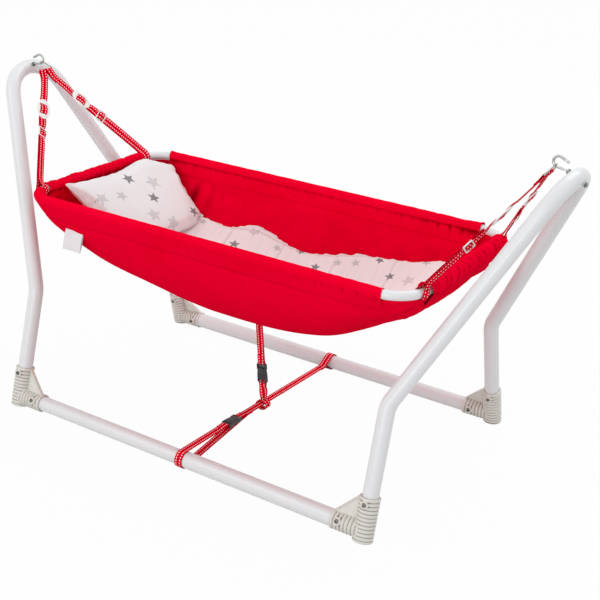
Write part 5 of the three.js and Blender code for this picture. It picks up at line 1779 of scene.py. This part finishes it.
def make_pillow():
    def detailed(place, normal):
        a = (place - PILLOW_MIDDLE) @ BACK
        d = (place - PILLOW_MIDDLE) @ PILLOW_DOWN
        side = 9.0 if (place - PILLOW_MIDDLE) @ PILLOW_OUT > 0 else -9.0
        u, v = 2 * a / PILLOW_WIDE, 2 * d / PILLOW_LONG
        edge = max(1 - max(abs(u), abs(v)), 0)
        run = d if abs(u) > abs(v) else a
        soft = 1.5 * rumple(a, d, side, 60.0, 4.0) + 0.6 * rumple(a, d, side, 22.0, 6.0)
        bend = 2.4 * rumple(a, d, 0, 50.0, 3.0)
        soft += PILLOW_PUCKER * math.exp(-(edge / 0.12) ** 2) * math.sin(run / 5.2 + bend)
        diagonal = abs(abs(u) - abs(v)) / 0.10
        near_edge = float(smoothstep(max(abs(u), abs(v)), 0.55, 0.95))
        soft -= PILLOW_CREASE * math.exp(-diagonal ** 2) * near_edge
        return keep_off(pillow_ears(place + normal * soft), PILLOW_LEAST_OFF)

    def at(u, v, side):
        return keep_off(pillow_point(u, v, side, PILLOW_GROWN), PILLOW_OFF_CLOTH)

    piece = quilt_form("pillow_pad", lambda u, v: at(u, v, 1), lambda u, v: at(u, v, -1), 91, 111, "pillow")
    filled(piece, PILLOW_SWELL)
    shaped(piece, detailed)
    mark_fold_shade(piece, rounds=8, deep=1.2)
    shown_for(piece, "pillow")
    cover = BVHTree.FromObject(piece, bpy.context.evaluated_depsgraph_get())
    edge = []
    for k in range(PIPING_POINTS):
        share = k / PIPING_POINTS * 4
        side, t = int(share), (share % 1) * 2 - 1
        u, v = [(t, -1), (1, t), (-t, 1), (-1, -t)][side]
        corner = 1 - 0.035 * abs(t) ** 10
        seam = pillow_ears(pillow_point(u * corner, v * corner, 0))
        near = cover.find_nearest(Vector(keep_off(seam, PIPING_OFF) * MM))[0]
        edge.append(np.array(near) / MM)
    edge = np.array(edge)
    for _ in range(8):
        edge = (np.roll(edge, 1, 0) + 2 * edge + np.roll(edge, -1, 0)) / 4
    steps = np.roll(edge, -1, 0) - np.roll(edge, 1, 0)
    tangents = steps / np.linalg.norm(steps, axis=1, keepdims=True)
    firsts = [unit(np.cross(tangent, PILLOW_OUT)) for tangent in tangents]
    made = closed_ring(edge, tangents, firsts, PIPING_R, 12)
    cord = outward(solid("pillow_piping", *made, "pillow", "cradle"))
    shown_for(cord, "pillow")
    return piece


# Label: a folded loop of bare white tape sewn to the front
def make_label():
    down, out = -UP, -BACK
    rows = []
    for side in (1, -1):
        for share in np.linspace(0.0, 1.0, 22)[:: side]:
            bulge = LABEL_FOLD + LABEL_BULGE * math.sin(math.pi * min(share * 1.02, 1)) ** 0.7
            rows.append((share, side * bulge))
    turns = np.linspace(0.4, math.pi - 0.4, 7)
    fold = [(1.0 + 0.012 * math.sin(turn), LABEL_FOLD * math.cos(turn)) for turn in turns]
    rows = rows[:22] + fold + rows[22:]
    grid = []
    for share, off in rows:
        row = []
        for across in np.linspace(-0.5, 0.5, 25):
            curl = LABEL_CURL * share * (across * 2) ** 2
            curl += 0.8 * rumple(across * 60, share * 60, 0, 25.0, 2.0)
            at = LABEL_TOP + down * LABEL_LONG * share + RIGHT * LABEL_WIDE * across + out * (off + curl)
            row.append(at - RIGHT * LABEL_SHEAR * share)
        grid.append(row)
    piece = solid("label_loop", *skin(grid, caps=False, round_section=False), "label", "cradle")
    thicken(piece, LABEL_THICK)
    shown_for(piece, "label")


# Buckles
def buckle_half(socket):
    """A buckle's socket above z = 0, or its plug below with the prongs that the socket holds."""
    open_wide = WEB_WIDE + SLOT_MARGIN
    half, bar = BUCKLE_WIDE / 2, 2 * BUCKLE_BAR_R
    if socket:
        top = BUCKLE_BODY
        outline = [(half - 0.6, 0.0), (half, 1.2), (half - 0.2, 4.0), (half - 1.2, 7.5), (half - 1.7, 9.5),
                   (half - 1.2, 11.8), (half, 15.0), (half, top - 2.4), (half - 0.7, top - 0.8),
                   (half - 2.4, top)]
        slots = [(0.0, top - bar - BUCKLE_SLOT / 2), (0.0, top - bar - BUCKLE_SLOT - 1.6 - 1.1)]
    else:
        low = -BUCKLE_BASE
        outline = [(half - 2.4, low), (half - 0.7, low + 0.8), (half, low + 2.4), (half, -3.0),
                   (half - 0.5, -GAP)]
        slots = [(0.0, bar - BUCKLE_BASE + BUCKLE_SLOT / 2)]
    ring = outline + [(-x, z) for x, z in outline[::-1]]
    heights = (BUCKLE_SLOT, BUCKLE_THIN_SLOT)
    holes = [soft_box(open_wide, high, 0.9, spot) for high, spot in zip(heights, slots)]
    local, faces = cut_sheet("buckle_form", ring, holes, BUCKLE_THICK, 1.5 if socket else 1.2)
    return local[:, [0, 2, 1]] * np.array([1, -1, 1]), faces


def make_buckle(name, at, upward, across, body):
    """Makes both halves and gives the places of the bars that the straps turn round."""
    out = np.cross(upward, across)
    axes = np.array([across, out, upward])
    for half in ("socket", "plug"):
        local, faces = buckle_half(half == "socket")
        parts = [(at + local @ axes, faces)]
        if half == "socket":
            for way in (-1, 1):
                middle = at + across * way * (BUCKLE_WIDE / 2 - 1.3) + upward * 9.2
                parts.append(bevelled((2.4, BUCKLE_THICK * 0.52, 9.0), middle, axes, 0.9))
            parts.append(bevelled((13.0, BUCKLE_THICK + 0.7, 6.0), at + upward * 15.5, axes, 0.3))
        else:
            low, high = -1.4, BUCKLE_PRONG
            for x in (-BUCKLE_WIDE / 2 + 3.6, 0, BUCKLE_WIDE / 2 - 3.6):
                middle = at + across * x + upward * (low + high) / 2
                parts.append(bevelled((3.0, 4.4, high - low), middle, axes, 0.5))
            rib = (BUCKLE_WIDE - 6, BUCKLE_THICK + 0.7, 1.1)
            parts += [bevelled(rib, at + upward * rise, axes, 0.3) for rise in BUCKLE_RIBS]
        piece = solid(f"{name}_{half}", *merged(*parts), "black", body)
        weld(piece)
        shown_for(piece, f"{name}_buckle_{half}")
    socket_bar = (at + upward * (BUCKLE_BODY - BUCKLE_BAR_R), upward, across, out)
    plug_bar = (at + upward * (BUCKLE_BAR_R - BUCKLE_BASE), -upward, across, out)
    return socket_bar, plug_bar


EYE_TURN_R = BUCKLE_BAR_R + GAP + WEB_THICK / 2
BODY_BOTTOM_Z = BOWL_TOP - BODY_DEEP
TETHER_LEAN = (TETHER_FOOT_X - TETHER_TOP_X) / (BODY_BOTTOM_Z - TETHER_FORK_Z)


def eye_end(bar, turn_r, lap, merge):
    """The end of a band folded round a bar: its short lap, then the turn; the tangent leaves the bar."""
    point, tangent, across, out = bar
    stations = [(point + tangent * lap - out * (WEB_THICK + GAP), across),
                (point + tangent * merge - out * (WEB_THICK + GAP), across)]
    return stations + half_turn(point, out, tangent, across, turn_r)


def stitch_box(name, point, along, across, length, body, replaces):
    """A sewn box with its diagonals in red thread, standing on a strap."""
    thick = WEB_THICK / 2 + 0.1
    out = np.cross(along, across)
    wide = WEB_WIDE / 2 - 3.0
    corners = [(-wide, 0), (wide, 0), (wide, length), (-wide, length), (-wide, 0), (wide, length)]
    corners += [(wide, 0), (-wide, length)]
    parts = []
    for way in (-1, 1):
        dots = [point + across * a + along * b + out * way * thick for a, b in corners]
        for a, b in zip(dots, dots[1:]):
            length_here = np.linalg.norm(b - a)
            if length_here < 0.5:
                continue
            count = max(int(length_here / 2.6), 1)
            for k in range(count):
                p = a + (b - a) * (k + 0.12) / count
                q = a + (b - a) * (k + 0.82) / count
                way_on = unit(q - p)
                parts.append(round_tube([p, q], [way_on, way_on], 0.32, 6))
    piece = outward(solid(name, *merged(*parts), "red_thread", body))
    shown_for(piece, replaces)


def make_tether():
    top = np.array([TETHER_TOP_X, 0, BODY_BOTTOM_Z - GAP - TETHER_LEAN * WEB_WIDE / 2])
    foot = np.array([TETHER_FOOT_X, 0, TETHER_FORK_Z])
    upward = unit(top - foot)

    def at_height(z):
        return top + (foot - top) * (top[2] - z) / (top[2] - foot[2])

    across = np.cross(BACK, upward)
    buckle_at = at_height(TETHER_BUCKLE_Z - BUCKLE_BODY)
    socket_bar, plug_bar = make_buckle("tether", buckle_at, upward, across, "tether")
    upper = eye_end(socket_bar, EYE_TURN_R, EYE_LAP, EYE_MERGE)
    upper += [(socket_bar[0] + upward * EYE_MERGE, across), (top, across)]
    band(rounded_route(upper), "tether_upper_webbing", "tether_upper_strap", "tether")
    stitch_box("tether_upper_stitches", socket_bar[0] + upward * (EYE_MERGE + 1), upward, across, 10.0,
               "tether", "tether_upper_strap")
    lower = eye_end(plug_bar, EYE_TURN_R, EYE_LAP * 0.6, EYE_MERGE)
    lower += [(plug_bar[0] - upward * EYE_MERGE, across), (at_height(TETHER_TWIST_Z), across)]
    for k in range(1, LOOP_STEPS + 1):
        share = k / LOOP_STEPS
        z = TETHER_TWIST_Z + (TETHER_FORK_Z + WEB_THICK - TETHER_TWIST_Z) * share
        lower.append((at_height(z), turned(across, upward, math.pi / 2 * share)))
    lower.append((foot, BACK))
    band(rounded_route(lower), "tether_lower_webbing", "tether_lower_strap", "tether")
    loop = []
    for k in range(64):
        angle = FULL_TURN * k / 64
        point = np.array([CROSS_X + TETHER_LOOP_X * math.sin(angle), 0,
                          TETHER_FORK_Z - TETHER_LOOP_Z + TETHER_LOOP_Z * math.cos(angle)])
        loop.append((point, BACK))
    band(loop, "tether_loop_webbing", "tether_lower_strap", "tether", closed=True)


# Cross strap between the floor tubes
WRAP_R = THICK_R + GAP + WEB_THICK / 2 + 0.15


def tube_wrap(centre_y, from_angle, to_angle):
    return [np.array([CROSS_X, centre_y + WRAP_R * math.cos(a), AXIS_Z + WRAP_R * math.sin(a)])
            for a in np.linspace(from_angle, to_angle, 3 * LOOP_STEPS)]


def wrap_angle(point, centre_y, above):
    reach = np.array([point[1] - centre_y, point[2] - AXIS_Z])
    return math.atan2(reach[1], reach[0]) % FULL_TURN + above * math.acos(WRAP_R / np.linalg.norm(reach))


def make_cross_strap():
    under = WEB_THICK + GAP
    rear_join = np.array([CROSS_X, CROSS_MERGE_Y, CROSS_REAR_Z])
    middle = np.array([CROSS_X, 0, CROSS_Z])
    buckle_rear = np.array([CROSS_X, CROSS_BUCKLE_REAR_Y, CROSS_Z + CROSS_BUCKLE_RISE])
    rearward = unit(middle - buckle_rear)
    buckle_at = buckle_rear - rearward * BUCKLE_BODY
    socket_bar, plug_bar = make_buckle("cross", buckle_at, rearward, RIGHT, "frame")
    rear = eye_end(socket_bar, EYE_TURN_R, EYE_LAP, EYE_MERGE)
    rear += [(socket_bar[0] + rearward * EYE_MERGE, RIGHT), (middle, RIGHT), (rear_join, RIGHT)]
    over_top = wrap_angle(rear_join, FOOT_Y, -1)
    from_below = wrap_angle(rear_join, FOOT_Y, 1)
    rear += [(p, RIGHT) for p in tube_wrap(FOOT_Y, over_top, from_below - FULL_TURN)]
    rear.append((np.array([CROSS_X, CROSS_MERGE_Y, CROSS_REAR_Z - under]), RIGHT))
    lap_share = CROSS_LAP / (CROSS_MERGE_Y - middle[1])
    rear.append((rear_join + (middle - rear_join) * lap_share - UP * under, RIGHT))
    band(rounded_route(rear), "cross_rear_webbing", "cross_strap_rear", "frame")
    stitch_box("cross_rear_stitches", rear_join + (middle - rear_join) * 0.012, unit(middle - rear_join),
               RIGHT, 14.0, "frame", "cross_strap_rear")
    front = eye_end(plug_bar, EYE_TURN_R, EYE_LAP, EYE_MERGE)
    leave = plug_bar[0] - rearward * EYE_MERGE
    front.append((leave, RIGHT))
    join = socket_bar[0] + rearward * (EYE_MERGE + CROSS_LAP) - UP * under
    over_front = wrap_angle(leave, -FOOT_Y, 1)
    under_front = wrap_angle(join, -FOOT_Y, -1)
    if under_front < over_front:
        under_front += FULL_TURN
    front += [(p, RIGHT) for p in tube_wrap(-FOOT_Y, over_front, under_front)]
    front += [(join, RIGHT), (join + rearward * CROSS_LAP, RIGHT)]
    band(rounded_route(front), "cross_front_webbing", "cross_strap_front", "frame")


# The photograph's view
def look_through_camera():
    turn, tilt, roll = (math.radians(angle) for angle in CAMERA_TURNS)
    ahead = np.array([-math.sin(turn) * math.cos(tilt), math.cos(turn) * math.cos(tilt), math.sin(tilt)])
    right = np.array([math.cos(turn), math.sin(turn), 0.0])
    up = np.cross(right, ahead)
    level = math.cos(roll) * right + math.sin(roll) * up
    upright = math.cos(roll) * up - math.sin(roll) * right
    made = bpy.data.cameras.new("camera")
    made.lens = CAMERA_LENS
    made.sensor_width = SENSOR_WIDE
    made.clip_end = 60.0
    camera = bpy.data.objects.new("camera", made)
    bpy.context.scene.collection.objects.link(camera)
    matrix = Matrix(np.column_stack([level, upright, -ahead]).tolist()).to_4x4()
    matrix.translation = Vector(CAMERA_AT)
    camera.matrix_world = matrix
    bpy.context.scene.camera = camera


def white_when_seen(tree, plain, share_seen):
    """Mixes a plain white into a shader, as the camera, glossy and clear surfaces see it."""
    white = tree.nodes.new("ShaderNodeEmission")
    white.inputs["Color"].default_value = (1, 1, 1, 1)
    white.inputs["Strength"].default_value = 1.0
    rays = tree.nodes.new("ShaderNodeLightPath")
    seen = rays.outputs["Is Camera Ray"]
    for kind in ("Is Glossy Ray", "Is Transmission Ray"):
        either = tree.nodes.new("ShaderNodeMath")
        either.operation = "MAXIMUM"
        tree.links.new(seen, either.inputs[0])
        tree.links.new(rays.outputs[kind], either.inputs[1])
        seen = either.outputs[0]
    part = tree.nodes.new("ShaderNodeMath")
    part.operation = "MULTIPLY"
    part.inputs[1].default_value = share_seen
    tree.links.new(seen, part.inputs[0])
    both = tree.nodes.new("ShaderNodeMixShader")
    tree.links.new(part.outputs[0], both.inputs[0])
    tree.links.new(plain, both.inputs[1])
    tree.links.new(white.outputs[0], both.inputs[2])
    return both.outputs[0]


def light_studio():
    scene = bpy.context.scene
    scene.view_settings.view_transform = "Standard"
    world = bpy.data.worlds.new("studio")
    scene.world = world
    world.use_nodes = True
    tree = world.node_tree
    ground = tree.nodes["Background"]
    ground.inputs["Color"].default_value = (1, 1, 1, 1)
    ground.inputs["Strength"].default_value = WORLD_LEVEL
    seen = white_when_seen(tree, ground.outputs[0], 1.0)
    tree.links.new(seen, tree.nodes["World Output"].inputs["Surface"])
    for name, place, size, power in LAMPS:
        lamp = bpy.data.lights.new(name, "AREA")
        lamp.shape = "SQUARE"
        lamp.size = size
        lamp.energy = power
        holder = bpy.data.objects.new(name, lamp)
        scene.collection.objects.link(holder)
        holder.location = place
        aim = Vector((0, 0, 0.4)) - Vector(place)
        holder.rotation_euler = aim.to_track_quat("-Z", "Y").to_euler()


def lay_floor():
    mesh = bpy.data.meshes.new("studio_floor")
    far = 30.0
    mesh.from_pydata([(-far, -far, 0), (far, -far, 0), (far, far, 0), (-far, far, 0)], [], [(0, 1, 2, 3)])
    floor = bpy.data.objects.new("studio_floor", mesh)
    bpy.context.scene.collection.objects.link(floor)
    paper = Finish("white_paper", (0.6, 0.6, 0.6), 0.95)
    cloud = paper.noise(paper.place(), 2.0, 2.0)
    paper.colour(paper.blend(cloud, (0.58, 0.58, 0.58), (0.62, 0.62, 0.62)))
    seen = white_when_seen(paper.tree, paper.shader.outputs[0], FLOOR_WHITE)
    paper.tree.links.new(seen, paper.tree.nodes["Material Output"].inputs["Surface"])
    mesh.materials.append(paper.material)


look_through_camera()
for end, mirror in (("left", -1), ("right", 1)):
    make_end_frame(end, mirror)
    make_hook(end, mirror)
    make_ring(end, mirror)
    for depth, way_y in (("front", -1), ("rear", 1)):
        make_connector(end, depth, mirror, way_y)
        make_screws(end, depth, mirror, way_y)
        make_sling(end, depth, mirror, way_y)
make_floor_tube("front", -1, 1)
make_floor_tube("rear", 1, -1)
make_rim()
cradle_body = make_body()
make_sleeves()
make_mattress()
make_pillow()
make_label()
make_tether()
make_cross_strap()
light_studio()
lay_floor()
